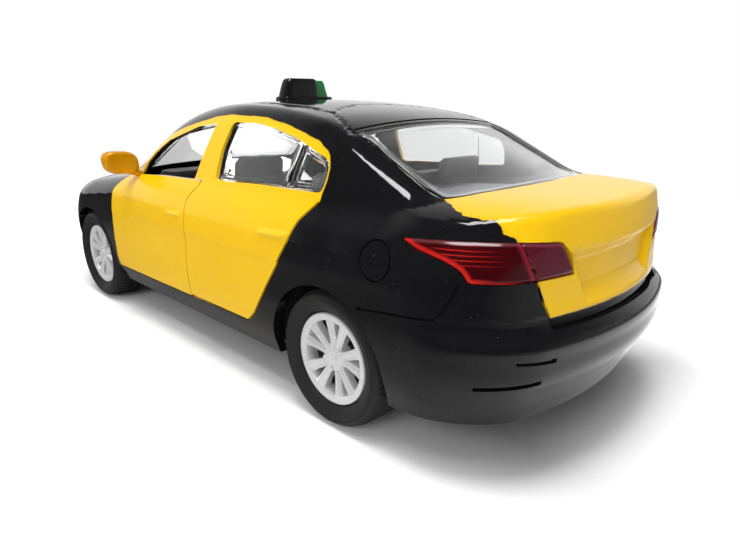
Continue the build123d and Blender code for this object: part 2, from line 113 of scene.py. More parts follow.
# line of the seam under and behind the rear door
REAR_DOOR_SEAM = [(-1.15, 9.4), (-17.1, 9.5), (-19.1, 11.2), (-25.0, 19.2), (-27.4, 22.9), (-28.5, 25.3),
                  (-30.4, 27.6)]
PAINTED_SIDE = [(26.3, 8.7), (26.5, 11.3), (26.1, 16.3), (25.8, 21.1), (25.4, 23.3), (23.3, 25.9),
                (16.6, 31.2), (10.3, 33.6), (4.2, 35.3), (-2.2, 36.6), (-6.45, 37.0), (-14.9, 36.8),
                (-20.6, 36.0), (-27.5, 34.45), (-30.2, 33.2), (-31.0, 31.6), (-31.0, 30.0), (-30.6, 28.5),
                (-30.7, 27.8), (-28.45, 25.3), (-27.4, 22.9), (-25.0, 19.2), (-19.1, 11.15), (-17.1, 9.5),
                (-1.2, 9.2), (10.8, 8.9)]
REAR_ARCH = (-33.2, 8.0, 10.2)
FRONT_ARCH = (37.4, 8.2, 10.2)
# rear glass and windscreen in plan: x, y
BACKLIGHT = [(-29.9, 14.9), (-45.3, 15.9), (-46.6, 13.6), (-47.8, 9.0), (-48.5, 3.0), (-48.5, -3.0),
             (-47.8, -9.0), (-46.6, -13.6), (-45.3, -15.9), (-29.9, -14.9)]
WINDSCREEN = [(11.5, 15.6), (11.5, -15.6), (30.2, -18.3), (30.2, 18.3)]
FUEL_FLAP = (-41.9, 23.0, 2.25)
BUMPER_LINE = [(-39.5, 17.2), (-43.5, 17.8), (-47.2, 18.2), (-49.6, 18.4), (-50.4, 19.3), (-51.1, 20.6),
               (-51.6, 22.2)]

# lamps: length round the corner of the body, height
LAMP_ROUND = 14.0
TAIL_LAMP = [(21.3, 25.9), (19.5, 26.1), (17.4, 26.25), (13.3, 26.35), (9.2, 26.3), (4.3, 25.85),
             (2.5, 23.0), (2.25, 22.3), (10.3, 22.25), (13.9, 22.3), (14.3, 23.0), (14.8, 23.6),
             (16.1, 24.25), (17.7, 24.75), (19.6, 25.2), (20.7, 25.6)]
HEADLAMP = [(3.0, 16.4), (3.8, 18.4), (9.0, 20.0), (14.0, 20.9), (19.0, 21.6), (20.4, 21.3), (17.5, 18.8),
            (13.0, 17.0), (7.0, 16.2)]
# width across, height
GRILLE = [(-10.8, 15.6), (-11.6, 18.4), (11.6, 18.4), (10.8, 15.6)]
INTAKE = [(-12.5, 8.4), (-14.0, 12.2), (14.0, 12.2), (12.5, 8.4)]
LAMP_HEIGHTS = (22.5, 26.3)     # foot and top of the groove between the tail lamp's parts

# gaps, lines and cutters
DOOR_GAP = 0.2
LINE_DEPTH = 0.32
FIT_GAP = 0.05          # gap round glass and lamps
SMALL_CORNER = 0.8      # corner radius of rear side window and rear glass
WINDSCREEN_CORNER = 1.6
CORNER_Y = 8            # start of the rays round a corner, from the middle
SIDEWAYS = (12, 40)     # reach of the cutters for the left side
BEHIND = (-70, -50)     # reach of the cutters for the tail

# sign and wheels
SIGN_X = -2.6
FACE_Y = 22.7           # outer face of the wheels
RIM_RADIUS = 5.9
TYRE_RADIUS = 8.85
WHEEL_Z = TYRE_RADIUS

# set
FLOOR = 1500            # half width of the floor
SENSOR = 36.0
IMAGE_WIDTH = 740
FOCAL_PIXELS = 581.1
CAMERA_PLACE = (-0.08312, 0.06490, 0.03960)     # metres
CAMERA_WAY = (0.67436, -0.67545, -0.29835)
CAR_MIDDLE = (0, 0, 0.02)                       # metres

# paint
UNPAINTED = -5.0        # distance kept where no yellow edge is near
BLACK = (0.007, 0.007, 0.008)
# orange of the mirrors: partly their own colour, partly painted shade that makes it darker
AMBER_AND_PAINTED_SHADE = (0.66, 0.29, 0.0)


# ------------------------------------------------------------------ the body's form
def dense(rows, step=0.05):
    """Smooth curve through a table's rows, as two arrays for np.interp."""
    xs = np.array([row[0] for row in rows], float)
    ys = np.array([row[1] for row in rows], float)
    spans = np.diff(xs)
    rises = np.diff(ys) / spans
    slopes = np.empty_like(ys)
    slopes[1:-1] = (rises[:-1] * spans[1:] + rises[1:] * spans[:-1]) / (spans[:-1] + spans[1:])
    slopes[0], slopes[-1] = rises[0], rises[-1]
    where = np.arange(xs[0], xs[-1] + step / 2, step)
    i = np.clip(np.searchsorted(xs, where, side="right") - 1, 0, len(xs) - 2)
    t = (where - xs[i]) / spans[i]
    low, high = ys[i], ys[i + 1]
    rise_low, rise_high = slopes[i] * spans[i], slopes[i + 1] * spans[i]
    values = low * (1 + 2 * t) * (1 - t) ** 2 + rise_low * t * (1 - t) ** 2
    values += high * t * t * (3 - 2 * t) + rise_high * t * t * (t - 1)
    return where, values


SIDE_CURVE, TAIL_CURVE, NOSE_CURVE = dense(SIDE), dense(TAIL), dense(NOSE)
DECK_CURVE, CABIN_CURVE = dense(DECK), dense(CABIN)
CABIN_SLOPE = (CABIN_CURVE[0], np.gradient(CABIN_CURVE[1], CABIN_CURVE[0]))


def look_up(curve, at):
    """Value of a dense curve."""
    return np.interp(at, curve[0], curve[1])


def ramp(start, end, x):
    """Smooth step from 0 at start to 1 at end."""
    t = np.clip((x - start) / (end - start), 0, 1)
    return t * t * (3 - 2 * t)


def both_of(a, b, radius):
    """Common part of two forms with a rounded edge."""
    near = np.minimum(np.maximum(a + radius, b + radius), 0)
    return np.hypot(np.maximum(a + radius, 0), np.maximum(b + radius, 0)) + near - radius


def either_of(a, b, radius):
    """Two forms joined with a fillet."""
    return -both_of(-a, -b, radius)


def notch(distance, width):
    """Soft groove across a line: 1 on the line, 0 a width away."""
    return ramp(width, 0, np.abs(distance))


def plate_recess(y, z):
    """Depth of the hollow in the boot lid where a number plate would be."""
    edge = np.minimum(9.4 + (z - 22.2) * 0.5 - y, np.minimum(24.4 - z, (z - 19.4) * 0.5))
    return 0.95 * ramp(-0.5, 0.8, edge)


def roof_lines(x, y):
    """Depth of the pressed lines in the roof."""
    along = y - np.interp(x, [-30.2, -27.0, -22.9, -18.0, -8.0, 8.0], [15.3, 13.7, 11.7, 11.3, 11.6, 11.0])
    inside = ramp(-31.5, -30, x) * ramp(9, 6, x)
    across = x + 18.7 + 0.034 * y * y
    return 0.22 * notch(along, 0.55) * inside + 0.16 * notch(across, 0.45) * ramp(12.2, 11.4, y)


def cabin_corner(side, roof, x):
    """Rounded roof edge that turns into two creases on the rear pillar."""
    soft = both_of(side, roof, 2.4 + 1.2 * ramp(-8, 4, x))
    band = (side + roof) * 0.7071 + 0.42
    creased = both_of(both_of(side, roof, 0.5), band, 0.5)
    share = ramp(-27, -33, x)
    return soft * (1 - share) + creased * share


def body_field(p):
    """Signed distance, about, from the car's outer skin: negative inside."""
    x, y, z = p[..., 0], np.abs(p[..., 1]), p[..., 2]
    # sides, drawn in a little towards the ends, and a tail and nose bowed in plan
    half = look_up(SIDE_CURVE, z)
    side = y - half + 1.8 * ramp(38, 62, x) + 0.6 * ramp(-42, -62, x)
    tail = look_up(TAIL_CURVE, z) + TAIL_BOW * (y / BOW_HALF) ** 2 - x + plate_recess(y, z)
    nose = x - look_up(NOSE_CURVE, z) + NOSE_BOW * (y / BOW_HALF) ** 2
    # deck, crowned across, with a low ridge on each side of the bonnet
    crown = 2.6 * ramp(10, -45, x) * (y / 22) ** 4 + 2.2 * ramp(0, 35, x) * (y / 22) ** 2.4
    ridge = 0.3 * ramp(2.2, 0, np.abs(y - 11.5 - (56 - x) * 0.12)) * ramp(28, 34, x)
    deck = z - look_up(DECK_CURVE, x) + crown - ridge
    lower = both_of(both_of(side, tail, TAIL_CORNER), nose, NOSE_CORNER)
    lower = both_of(lower, deck, 2.2 - 1.65 * ramp(-41, -47, x))
    # cabin, drawn in over the boot and at the cowl, with both its ends bowed in plan
    cabin_half = half - 2.2 * ramp(-27, -47, x) - 4.0 * ramp(-43, -52, x) - 1.2 * ramp(8, 28, x)
    bent_x = x + 6.5 * ramp(-2, 24, x) * (y / 20) ** 2 - 3.0 * ramp(-22, -44, x) * (y / 17) ** 2
    roof = z - look_up(CABIN_CURVE, bent_x) + 0.9 * (y / 16) ** 2 * ramp(26, 5, x)
    roof = roof / np.sqrt(1 + look_up(CABIN_SLOPE, bent_x) ** 2)
    cabin = cabin_corner(y - cabin_half, roof + roof_lines(x, y) * ramp(33, 35.5, z), x)
    cabin = np.maximum(cabin, np.maximum(np.maximum(-51 - x, x - 34), 20 - z))
    return either_of(lower, cabin, CABIN_FILLET)


def inset_field(inset, bottom):
    """The body's form moved in by a wall, closed below at one height."""
    def field(p):
        return np.maximum(body_field(p) + inset, bottom - p[..., 2])
    return field


REACH = 45.0            # longest ray from the car's spine to its skin
HALVINGS = 14           # halvings of the last millimetre of each ray


def walk_out(field, starts, ways):
    """Last point inside a form along each ray."""
    near = np.zeros(starts.shape[:-1])
    far = np.full(starts.shape[:-1], REACH)
    found = np.zeros(near.shape, bool)
    for reach in np.arange(1.0, REACH + 0.5):
        out = field(starts + reach * ways) > 0
        far = np.where(out & ~found, reach, far)
        found |= out
        near = np.where(~found, reach, near)
    for _ in range(HALVINGS):
        middle = (near + far) / 2
        out = field(starts + middle[..., None] * ways) > 0
        far = np.where(out, middle, far)
        near = np.where(out, near, middle)
    return starts + ((near + far) / 2)[..., None] * ways


def skin_grid(field, rings_mid, rings_end, around):
    """Points where rays from the car's spine leave a form: rows from tail to nose, columns upwards."""
    ends = np.arange(1, rings_end) / rings_end
    tilt = np.concatenate([(ends - 1) * math.pi / 2, np.zeros(rings_mid), ends * math.pi / 2])[:, None]
    middle = np.linspace(SPINE_REAR, SPINE_FRONT, rings_mid)
    origin = np.concatenate([0 * ends + SPINE_REAR, middle, 0 * ends + SPINE_FRONT])[:, None]
    turn = np.linspace(-math.pi / 2, math.pi / 2, around + 1)[None, :]
    ways = np.stack([np.sin(tilt) + 0 * turn, np.cos(tilt) * np.cos(turn), np.cos(tilt) * np.sin(turn)], -1)
    starts = np.stack([origin + 0 * turn, 0 * origin + 0 * turn, SPINE_Z + 0 * origin + 0 * turn], -1)
    return walk_out(field, starts, ways)


def slope_of(field, points, step=0.02):
    """Unit vectors square to a form's surface."""
    parts = []
    for axis in range(3):
        move = np.zeros(3)
        move[axis] = step
        parts.append(field(points + move) - field(points - move))
    slope = np.stack(parts, -1)
    return slope / np.maximum(np.linalg.norm(slope, axis=-1, keepdims=True), 1e-9)


# ------------------------------------------------------------------ meshes
def make_object(name, points, faces):
    """Mesh object from points in millimetres."""
    mesh = bpy.data.meshes.new(name)
    mesh.from_pydata([tuple(MM * c for c in p) for p in points], [], faces)
    mesh.validate()
    obj = bpy.data.objects.new(name, mesh)
    bpy.context.collection.objects.link(obj)
    return obj


def closed_object(name, points, faces):
    """Mesh object with all its faces turned outwards."""
    obj = make_object(name, points, faces)
    work = bmesh.new()
    work.from_mesh(obj.data)
    bmesh.ops.recalc_face_normals(work, faces=work.faces)
    work.to_mesh(obj.data)
    work.free()
    return obj


def smooth_by_angle(obj, degrees=40):
    """Smooth shading with sharp edges where faces meet at more than an angle."""
    obj.data.shade_smooth()
    obj.data.set_sharp_from_angle(angle=math.radians(degrees))
    return obj


def strips(rings, count):
    """Quads between neighbouring closed rings of points."""
    faces = []
    for i in range(rings - 1):
        for j in range(count):
            k = (j + 1) % count
            faces.append((i * count + j, i * count + k, (i + 1) * count + k, (i + 1) * count + j))
    return faces


def form_solid(name, field, rings_mid=128, rings_end=78, around=120):
    """Closed mesh of a form, both sides of the car."""
    half = skin_grid(field, rings_mid, rings_end, around)
    rows = half.shape[0]
    other = half[:, 1:-1][:, ::-1] * np.array([1, -1, 1])
    ring = np.concatenate([half, other], 1)
    count = ring.shape[1]
    tail = walk_out(field, np.array([[SPINE_REAR, 0, SPINE_Z]]), np.array([[-1.0, 0, 0]]))
    nose = walk_out(field, np.array([[SPINE_FRONT, 0, SPINE_Z]]), np.array([[1.0, 0, 0]]))
    points = np.concatenate([ring.reshape(-1, 3), tail, nose])
    tail_index, nose_index = rows * count, rows * count + 1
    faces = strips(rows, count)
    for j in range(count):
        k = (j + 1) % count
        faces.append((tail_index, k, j))
        faces.append((nose_index, (rows - 1) * count + j, (rows - 1) * count + k))
    return make_object(name, points, faces)


def prism(outline, axis, low, high):
    """Closed prism: an outline in the two other axes, carried along one axis."""
    points = np.concatenate([np.insert(np.array(outline, float), axis, level, 1) for level in (low, high)])
    n = len(outline)
    faces = [tuple(range(n)), tuple(range(2 * n - 1, n - 1, -1))]
    faces += [(i, n + i, n + (i + 1) % n, (i + 1) % n) for i in range(n)]
    return closed_object("tool", points, faces)


def rounded(points, radius, steps=5):
    """Outline with its corners rounded."""
    out = []
    n = len(points)
    for i in range(n):
        before, here, after = (np.array(points[(i + d) % n], float) for d in (-1, 0, 1))
        to_before, to_after = before - here, after - here
        len_before, len_after = np.linalg.norm(to_before), np.linalg.norm(to_after)
        cut = min(radius, len_before * 0.45, len_after * 0.45)
        start, end = here + to_before / len_before * cut, here + to_after / len_after * cut
        for k in range(steps + 1):
            t = k / steps
            out.append(tuple((1 - t) ** 2 * start + 2 * t * (1 - t) * here + t * t * end))
    return out


def grown(points, margin):
    """Outline moved out by a margin."""
    pts = np.array(points, float)
    area = np.sum(pts[:, 0] * np.roll(pts[:, 1], -1) - np.roll(pts[:, 0], -1) * pts[:, 1])
    turn = 1 if area > 0 else -1
    ahead = np.roll(pts, -1, 0) - pts
    ahead /= np.maximum(np.linalg.norm(ahead, axis=1, keepdims=True), 1e-9)
    behind = np.roll(ahead, 1, 0)
    out_ahead = np.stack([ahead[:, 1], -ahead[:, 0]], 1) * turn
    out_behind = np.stack([behind[:, 1], -behind[:, 0]], 1) * turn
    both = out_ahead + out_behind
    both /= np.maximum(np.sum(both * out_ahead, 1, keepdims=True), 0.35)
    return [tuple(p) for p in pts + both * margin]


def ribbon(line, width):
    """Outline of a narrow band along a line."""
    pts = np.array(line, float)
    ahead = np.gradient(pts, axis=0)
    ahead /= np.linalg.norm(ahead, axis=1, keepdims=True)
    out = np.stack([-ahead[:, 1], ahead[:, 0]], 1) * width / 2
    return [tuple(p) for p in pts + out] + [tuple(p) for p in (pts - out)[::-1]]


def circle(centre_u, centre_v, radius, sides=96):
    """Circle as an outline."""
    return [(centre_u + radius * math.cos(2 * math.pi * k / sides),
             centre_v + radius * math.sin(2 * math.pi * k / sides)) for k in range(sides)]


def resampled(points, count):
    """The same closed outline with evenly spaced points."""
    pts = np.array(list(points) + [points[0]], float)
    at = np.concatenate([[0], np.cumsum(np.linalg.norm(np.diff(pts, axis=0), axis=1))])
    where = np.linspace(0, at[-1], count, endpoint=False)
    return np.stack([np.interp(where, at, pts[:, 0]), np.interp(where, at, pts[:, 1])], 1)


def duplicate(obj, name):
    """Separate copy of a piece."""
    copy = obj.copy()
    copy.data = obj.data.copy()
    copy.name = name
    bpy.context.collection.objects.link(copy)
    return copy


def mirrored(obj, name):
    """Copy of a piece on the car's right side."""
    copy = duplicate(obj, name)
    copy.data.transform(((1, 0, 0, 0), (0, -1, 0, 0), (0, 0, 1, 0), (0, 0, 0, 1)))
    copy.data.flip_normals()
    return copy


def discard(obj):
    """Remove a helper object."""
    mesh = obj.data
    bpy.data.objects.remove(obj)
    bpy.data.meshes.remove(mesh)


def joined(objects, name):
    """Several objects as one mesh."""
    work = bmesh.new()
    for obj in objects:
        work.from_mesh(obj.data)
    first = objects[0]
    work.to_mesh(first.data)
    work.free()
    first.name = name
    for obj in objects[1:]:
        discard(obj)
    return first


def with_right(obj):
    """A piece and its mirror image as one mesh."""
    return joined([obj, mirrored(obj, "right")], obj.name)


def combine(obj, tool, kind, keep_tool=False):
    """Boolean of two closed meshes, applied to the first."""
    change = obj.modifiers.new("cut", "BOOLEAN")
    change.operation = kind
    change.solver = "MANIFOLD"
    change.object = tool
    graph = bpy.context.evaluated_depsgraph_get()
    new = bpy.data.meshes.new_from_object(obj.evaluated_get(graph))
    obj.modifiers.clear()
    old = obj.data
    obj.data = new
    bpy.data.meshes.remove(old)
    if not keep_tool:
        discard(tool)
    return obj


def column(items, name, width=1, kind=float):
    """One property of all points, corners or faces of a mesh, as rows."""
    flat = np.empty(len(items) * width, kind)
    items.foreach_get(name, flat)
    return flat.reshape(-1, width) if width > 1 else flat


def points_of(obj):
    """A mesh's points in millimetres."""
    return column(obj.data.vertices, "co", 3) / MM


def shade_by_form(obj):
    """Normals of the body's true form on its surface, and flat ones on cut edges."""
    mesh = obj.data
    wanted = slope_of(body_field, points_of(obj))[column(mesh.loops, "vertex_index", kind=int)]
    corners = column(mesh.polygons, "loop_total", kind=int)
    flat = np.repeat(column(mesh.polygons, "normal", 3), corners, axis=0)
    match = np.sum(wanted * flat, 1)[:, None]
    normals = np.where(match > 0.9, wanted, flat)
    normals = np.where(match < -0.9, -wanted, normals)
    mesh.shade_smooth()
    mesh.normals_split_custom_set(normals.tolist())


def line_distance(points, starts, ends):
    """Distance to the nearest of several straight stretches."""
    best = np.full(points.shape[:-1], 1e9)
    for a, b in zip(starts, ends):
        edge = b - a
        to = points - a
        t = np.clip((to @ edge) / max(edge @ edge, 1e-9), 0, 1)
        best = np.minimum(best, np.linalg.norm(to - t[..., None] * edge, axis=-1))
    return best


def outline_distance(points, outline):
    """Signed distance to an outline: positive inside."""
    poly = np.array(outline, float)
    ends = np.roll(poly, -1, 0)
    inside = np.zeros(points.shape[:-1], bool)
    for a, b in zip(poly, ends):
        crosses = (a[1] > points[..., 1]) != (b[1] > points[..., 1])
        with np.errstate(divide="ignore", invalid="ignore"):
            at = a[0] + (points[..., 1] - a[1]) * (b[0] - a[0]) / (b[1] - a[1])
        inside ^= crosses & (points[..., 0] < at)
    away = line_distance(points, poly, ends)
    return np.where(inside, away, -away)


# ------------------------------------------------------------------ patches on the body's form
def level_rays(axis, start):
    """Rays along one axis, from points given by the two other coordinates."""
    def rays(uv):
        starts = np.insert(uv, axis, start, -1)
        ways = np.zeros(starts.shape)
        ways[..., axis] = 1.0
        return starts, ways
    return rays


def corner_rays(centre_x, way_x):
    """Rays that fan round one of the body's left corners: length round it, height."""
    def rays(uv):
        turn = uv[..., 0] / LAMP_ROUND
        start = np.stack([0 * turn + centre_x, 0 * turn + CORNER_Y, uv[..., 1]], -1)
        return start, np.stack([way_x * np.cos(turn), np.sin(turn), 0 * turn], -1)
    return rays


# out to the left side, up to roof, bonnet and lid, forward to the nose, and round the two left corners
from_side = level_rays(ACROSS, 8)
from_below = level_rays(UP, 17)
from_front = level_rays(ALONG, 40)
from_tail_corner = corner_rays(SPINE_REAR, -1)
from_nose_corner = corner_rays(SPINE_FRONT, 1)


def fan_tool(outline, rays, low, high):
    """Closed cutting solid: an outline carried along its rays."""
    rim = np.array(outline, float)
    starts, ways = rays(rim)
    near, far = starts + low * ways, starts + high * ways
    n = len(rim)
    points = np.concatenate([near, far, [near.mean(0)], [far.mean(0)]])
    faces = []
    for i in range(n):
        j = (i + 1) % n
        faces += [(i, j, n + j, n + i), (2 * n, j, i), (2 * n + 1, n + i, n + j)]
    return closed_object("tool", points, faces)


def patch(name, outline, rays, depth, thick, rings=14, around=160):
    """Closed shell that follows the body's form. depth gives how far its face lies under the form."""
    rim = resampled(outline, around)
    centre = rim.mean(0)
    share = 1 - (1 - np.linspace(0, 1, rings + 1)) ** 1.7
    uv = centre + share[:, None, None] * (rim - centre)
    inside = np.maximum(outline_distance(uv, rim), 0)
    starts, ways = rays(uv)
    below = depth(uv, inside)
    top = walk_out(lambda p: body_field(p) + below, starts, ways)
    low = walk_out(lambda p: body_field(p) + below + thick, starts, ways)
    return ring_shell(name, top, low)


def ring_shell(name, top, low):
    """Closed mesh from two faces given as rings round a centre."""
    rings, around = top.shape[0] - 1, top.shape[1]
    size = 1 + rings * around
    points = [top[0, 0], *top[1:].reshape(-1, 3), low[0, 0], *low[1:].reshape(-1, 3)]
    faces = []
    for j in range(around):
        k = (j + 1) % around
        faces += [(0, 1 + j, 1 + k), (size, size + 1 + k, size + 1 + j)]
        for i in range(rings - 1):
            a, b = 1 + i * around, 1 + (i + 1) * around
            faces.append((a + j, b + j, b + k, a + k))
            faces.append((size + a + j, size + a + k, size + b + k, size + b + j))
        edge = 1 + (rings - 1) * around
        faces.append((edge + j, size + edge + j, size + edge + k, edge + k))
    return closed_object(name, points, faces)


def lathe(rows, x, z=WHEEL_Z, segments=60, closed=False, radius_of=None):
    """Solid turned round an axle's line, from rows of radius and depth behind the wheel's face."""
    points = []
    for k in range(segments):
        turn = 2 * math.pi * k / segments
        for radius, depth in rows:
            y = FACE_Y - depth
            r = radius_of(radius, y, k) if radius_of else radius
            points.append((x + r * math.cos(turn), y, z + r * math.sin(turn)))
    faces = []
    count = len(rows)
    for k in range(segments):
        m = (k + 1) % segments
        for i in range(count if closed else count - 1):
            j = (i + 1) % count
            faces.append((k * count + i, k * count + j, m * count + j, m * count + i))
    if not closed:
        faces += [tuple(k * count + i for k in range(segments)) for i in (0, count - 1)]
    return closed_object("turned", points, faces)


# ------------------------------------------------------------------ materials
class Value:
    """Output of a shader node. Sums, differences and products of values become Math nodes."""

    def __init__(self, node, output=0):
        self.socket = node.outputs[output]
        self.tree = node.id_data

    def __add__(self, other):
        return math_node("ADD", self, other)

    def __sub__(self, other):
        return math_node("SUBTRACT", self, other)

    def __mul__(self, other):
        return math_node("MULTIPLY", self, other)

    def __abs__(self):
        return math_node("ABSOLUTE", self)


def put(socket, value):
    """Link a value to an input, or set the input."""
    if isinstance(value, Value):
        value.tree.links.new(value.socket, socket)
    else:
        socket.default_value = value


def feed(node, inputs):
    """Give a node's inputs their values, by name."""
    for name, value in inputs.items():
        put(node.inputs[name], value)


def added(tree, kind, inputs=(), **settings):
    """New shader node with its settings and inputs."""
    node = tree.nodes.new("ShaderNode" + kind)
    for name, value in settings.items():
        setattr(node, name, value)
    feed(node, dict(inputs))
    return node


def math_node(operation, first, *others):
    """Result of a Math node."""
    node = added(first.tree, "Math", operation=operation)
    for socket, value in zip(node.inputs, (first, *others)):
        put(socket, value)
    return Value(node)


def larger(a, b):
    """The larger of two values."""
    return math_node("MAXIMUM", a, b)


def attribute(tree, name):
    """Number kept on the mesh under a name."""
    return Value(added(tree, "Attribute", attribute_name=name), "Fac")


def noise(tree, scale, detail=3.0, rough=0.5, stretch=(1, 1, 1)):
    """Noise over the object's own metres."""
    place = Value(added(tree, "TexCoord"), "Object")
    turned = Value(added(tree, "Mapping", {"Scale": stretch, "Vector": place}))
    inputs = {"Scale": scale, "Detail": detail, "Roughness": rough, "Vector": turned}
    return Value(added(tree, "TexNoise", inputs), "Fac")


def spread(value, low, high, to_low=0.0, to_high=1.0):
    """Value moved from one range to another, and held inside it."""
    inputs = {"Value": value, "From Min": low, "From Max": high, "To Min": to_low, "To Max": to_high}
    return Value(added(value.tree, "MapRange", inputs), "Result")


def mix(share, first, second):
    """Two colours mixed."""
    first, second = (c if isinstance(c, Value) else (*c, 1) for c in (first, second))
    node = added(share.tree, "Mix", {"Factor": share, "A": first, "B": second}, data_type="RGBA")
    return Value(node, "Result")


def bump(shader, height, depth_mm):
    """Bump of a given depth on a shader."""
    node = added(height.tree, "Bump", {"Distance": depth_mm * MM, "Height": height})
    put(shader.inputs["Normal"], Value(node))


def blended(tree, share, first, second):
    """Two shaders mixed, as the material's surface."""
    node = added(tree, "MixShader", {"Fac": share})
    for socket, shader in zip(node.inputs[1:], (first, second)):
        put(socket, Value(shader))
    put(tree.nodes["Material Output"].inputs["Surface"], Value(node))


def material(name):
    """Node material with its tree and main shader."""
    mat = bpy.data.materials.new(name)
    mat.use_nodes = True
    return mat, mat.node_tree, mat.node_tree.nodes["Principled BSDF"]


def moulded(name, colour, rough, grain=900.0, depth=0.02, metal=0.0, coat=0.0, specular=0.5, vary=0.12):
    """Painted, moulded or plated surface with fine unevenness in colour, gloss and height."""
    mat, tree, shader = material(name)
    cloud = noise(tree, grain * 0.25)
    darker = tuple(c * (1 - vary) for c in colour)
    lighter = tuple(min(c * (1 + vary), 1.0) for c in colour)
    feed(shader, {"Base Color": mix(cloud, darker, lighter),
                  "Roughness": spread(cloud, 0.3, 0.7, rough * 0.85, min(rough * 1.15, 1.0)),
                  "Metallic": metal, "Coat Weight": coat, "Specular IOR Level": specular})
    bump(shader, noise(tree, grain), depth)
    return mat


def body_paint():
    """Black gloss with yellow doors, window surrounds and boot lid, brushed at the lid's edge."""
    mat, tree, shader = material("body_paint")
    # distance in from the edge of the yellow, in millimetres
    ragged = spread(noise(tree, 420.0, 3.0, 0.55), 0.3, 0.7, -0.42, 0.42) * attribute(tree, "brushed")
    wavy = spread(noise(tree, 500.0, 2.0), 0.3, 0.7, -0.05, 0.05)
    inside = larger(attribute(tree, "side_paint") + wavy, attribute(tree, "lid_paint") + ragged)
    painted = spread(inside, -0.03, 0.03)
    yellow = mix(noise(tree, 60.0, 2.0), (0.93, 0.545, 0.003), (0.98, 0.60, 0.007))
    worn_edge = spread(inside, 0.0, 0.3, 0.75, 1.0)
    dust = spread(noise(tree, 2600.0, 1.0), 0.74, 0.80) * 0.35
    black = mix(dust, BLACK, (0.10, 0.10, 0.10))
    gloss = spread(noise(tree, 150.0, 3.0), 0.3, 0.7, 0.05, 0.10)
    feed(shader, {"Base Color": mix(painted, black, mix(worn_edge, (0.30, 0.17, 0.0), yellow)),
                  "Roughness": gloss + painted * 0.16, "Specular IOR Level": 0.38})
    bump(shader, noise(tree, 330.0, 2.0), 0.012)
    return mat


def clear_glass():
    """Clear moulded plastic with faint flow lines, which lets light through to the seats."""
    mat, tree, shader = material("clear_plastic")
    streaks = noise(tree, 160.0, 2.0, 0.5, (0.5, 0.5, 3.0))
    feed(shader, {"Base Color": (0.98, 0.985, 0.985, 1), "Transmission Weight": 1.0, "IOR": 1.12,
                  "Coat Weight": 1.0, "Coat Roughness": 0.03,
                  "Roughness": spread(streaks, 0.3, 0.7, 0.01, 0.035)})
    bump(shader, streaks, 0.03)
    clear = added(tree, "BsdfTransparent", {"Color": (0.98, 0.98, 0.98, 1)})
    blended(tree, Value(added(tree, "LightPath"), "Is Shadow Ray"), shader, clear)
    return mat


def red_lens():
    """Red lamp lens: a painted glow, as a band along its lower edge and bright lines, over a dark red."""
    mat, tree, shader = material("lamp_red")
    along, height, low_edge, top_edge = (attribute(tree, name)
                                         for name in ("along", "height", "low_edge", "top_edge"))
    cloud = noise(tree, 350.0, 3.0)
    # painted glow: a bright band and a thin line along the lower edge, and bright lines higher up, standing
    # in for light caught in the lens
    band = spread(low_edge, 0.65, 0.35) * spread(along, 13.0, 15.0, 0.0, 0.85)
    thin_painted_glow = spread(low_edge, 0.32, 0.16) * spread(along, 9.8, 12.0, 0.0, 0.7)
    lines = spread(math_node("PINGPONG", height + cloud * 0.12, 0.23), 0.15, 0.21)
    fade = spread(along, 18.2, 16.4) * spread(along, 11.2, 15.0)
    upper = spread(height, 23.9, 24.2) * spread(top_edge, 0.35, 0.6)
    painted_glow = larger(larger(band, thin_painted_glow), lines * fade * upper * 0.7)
    ribs = spread(math_node("PINGPONG", along, 0.16), 0.02, 0.14)
    inner = mix(ribs, (0.080, 0.006, 0.014), (0.115, 0.010, 0.024))
    outer = mix(cloud, (0.028, 0.001, 0.002), (0.065, 0.002, 0.004))
    base = mix(spread(along, 9.7, 9.9), inner, outer)
    # painted lit line, bright red, along the groove between the lamp's two parts
    seam = spread(abs(along - 9.45), 0.17, 0.08, 0.0, 0.6)
    base = mix(seam, base, (0.42, 0.010, 0.010))
    # painted highlight, pinkish, along the lens's top edge
    base = mix(spread(top_edge, 0.42, 0.18, 0.0, 0.35), base, (0.36, 0.10, 0.12))
    feed(shader, {"Base Color": mix(painted_glow, base, (0.72, 0.016, 0.010)), "Roughness": 0.12,
                  "Specular IOR Level": 0.3})
    bump(shader, cloud, 0.01)
    return mat


def store(mesh, name, values):
    """Keep one number at each point for the materials."""
    layer = mesh.attributes.new(name, "FLOAT", "POINT")
    layer.data.foreach_set("value", np.asarray(values, float))


def lid_distance(points):
    """Signed distance to the boot lid's edge: positive on the lid."""
    x, y, z = points[:, 0], np.abs(points[:, 1]), points[:, 2]
    top_half = np.interp(x, [-55.0, -53.8, -52.2, -50.0, -48.0, -46.0, -45.1],
                         [17.0, 17.7, 18.4, 18.5, 17.5, 16.3, 15.6])
    rear_half = np.interp(z, [17.0, 18.7, 19.7, 22.0, 25.8, 26.6], [13.2, 13.7, 14.2, 15.1, 17.0, 17.0])
    half = np.where(z > 26.6, top_half, rear_half)
    return np.minimum(np.minimum(half - y, -44.9 - x), z - 18.3)


def mark_paint(obj):
    """Distances in from the edges of the yellow paint, and where that edge is brushed."""
    points = points_of(obj)
    outside = body_field(points) > -0.9
    side = outline_distance(points[:, [0, 2]], PAINTED_SIDE)
    on_side = outside & (np.abs(points[:, 1]) > 12)
    store(obj.data, "side_paint", np.where(on_side, side, UNPAINTED))
    lid = np.clip(lid_distance(points), UNPAINTED, -UNPAINTED)
    store(obj.data, "lid_paint", np.where(outside, lid, UNPAINTED))
    by_fender = ramp(26.4, 27.2, points[:, 2]) * ramp(-45.2, -46.5, points[:, 0])
    store(obj.data, "brushed", 0.1 + 0.9 * by_fender)


def dress(obj, mat, body, slot, *nodes):
    """Give a piece its material, its body and the CAD nodes it stands for; the slot is not used."""
    obj.data.materials.clear()
    obj.data.materials.append(mat)
    obj.data.polygons.foreach_set("material_index", np.zeros(len(obj.data.polygons), int))
    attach(obj, body)
    if nodes:
        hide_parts(*nodes)


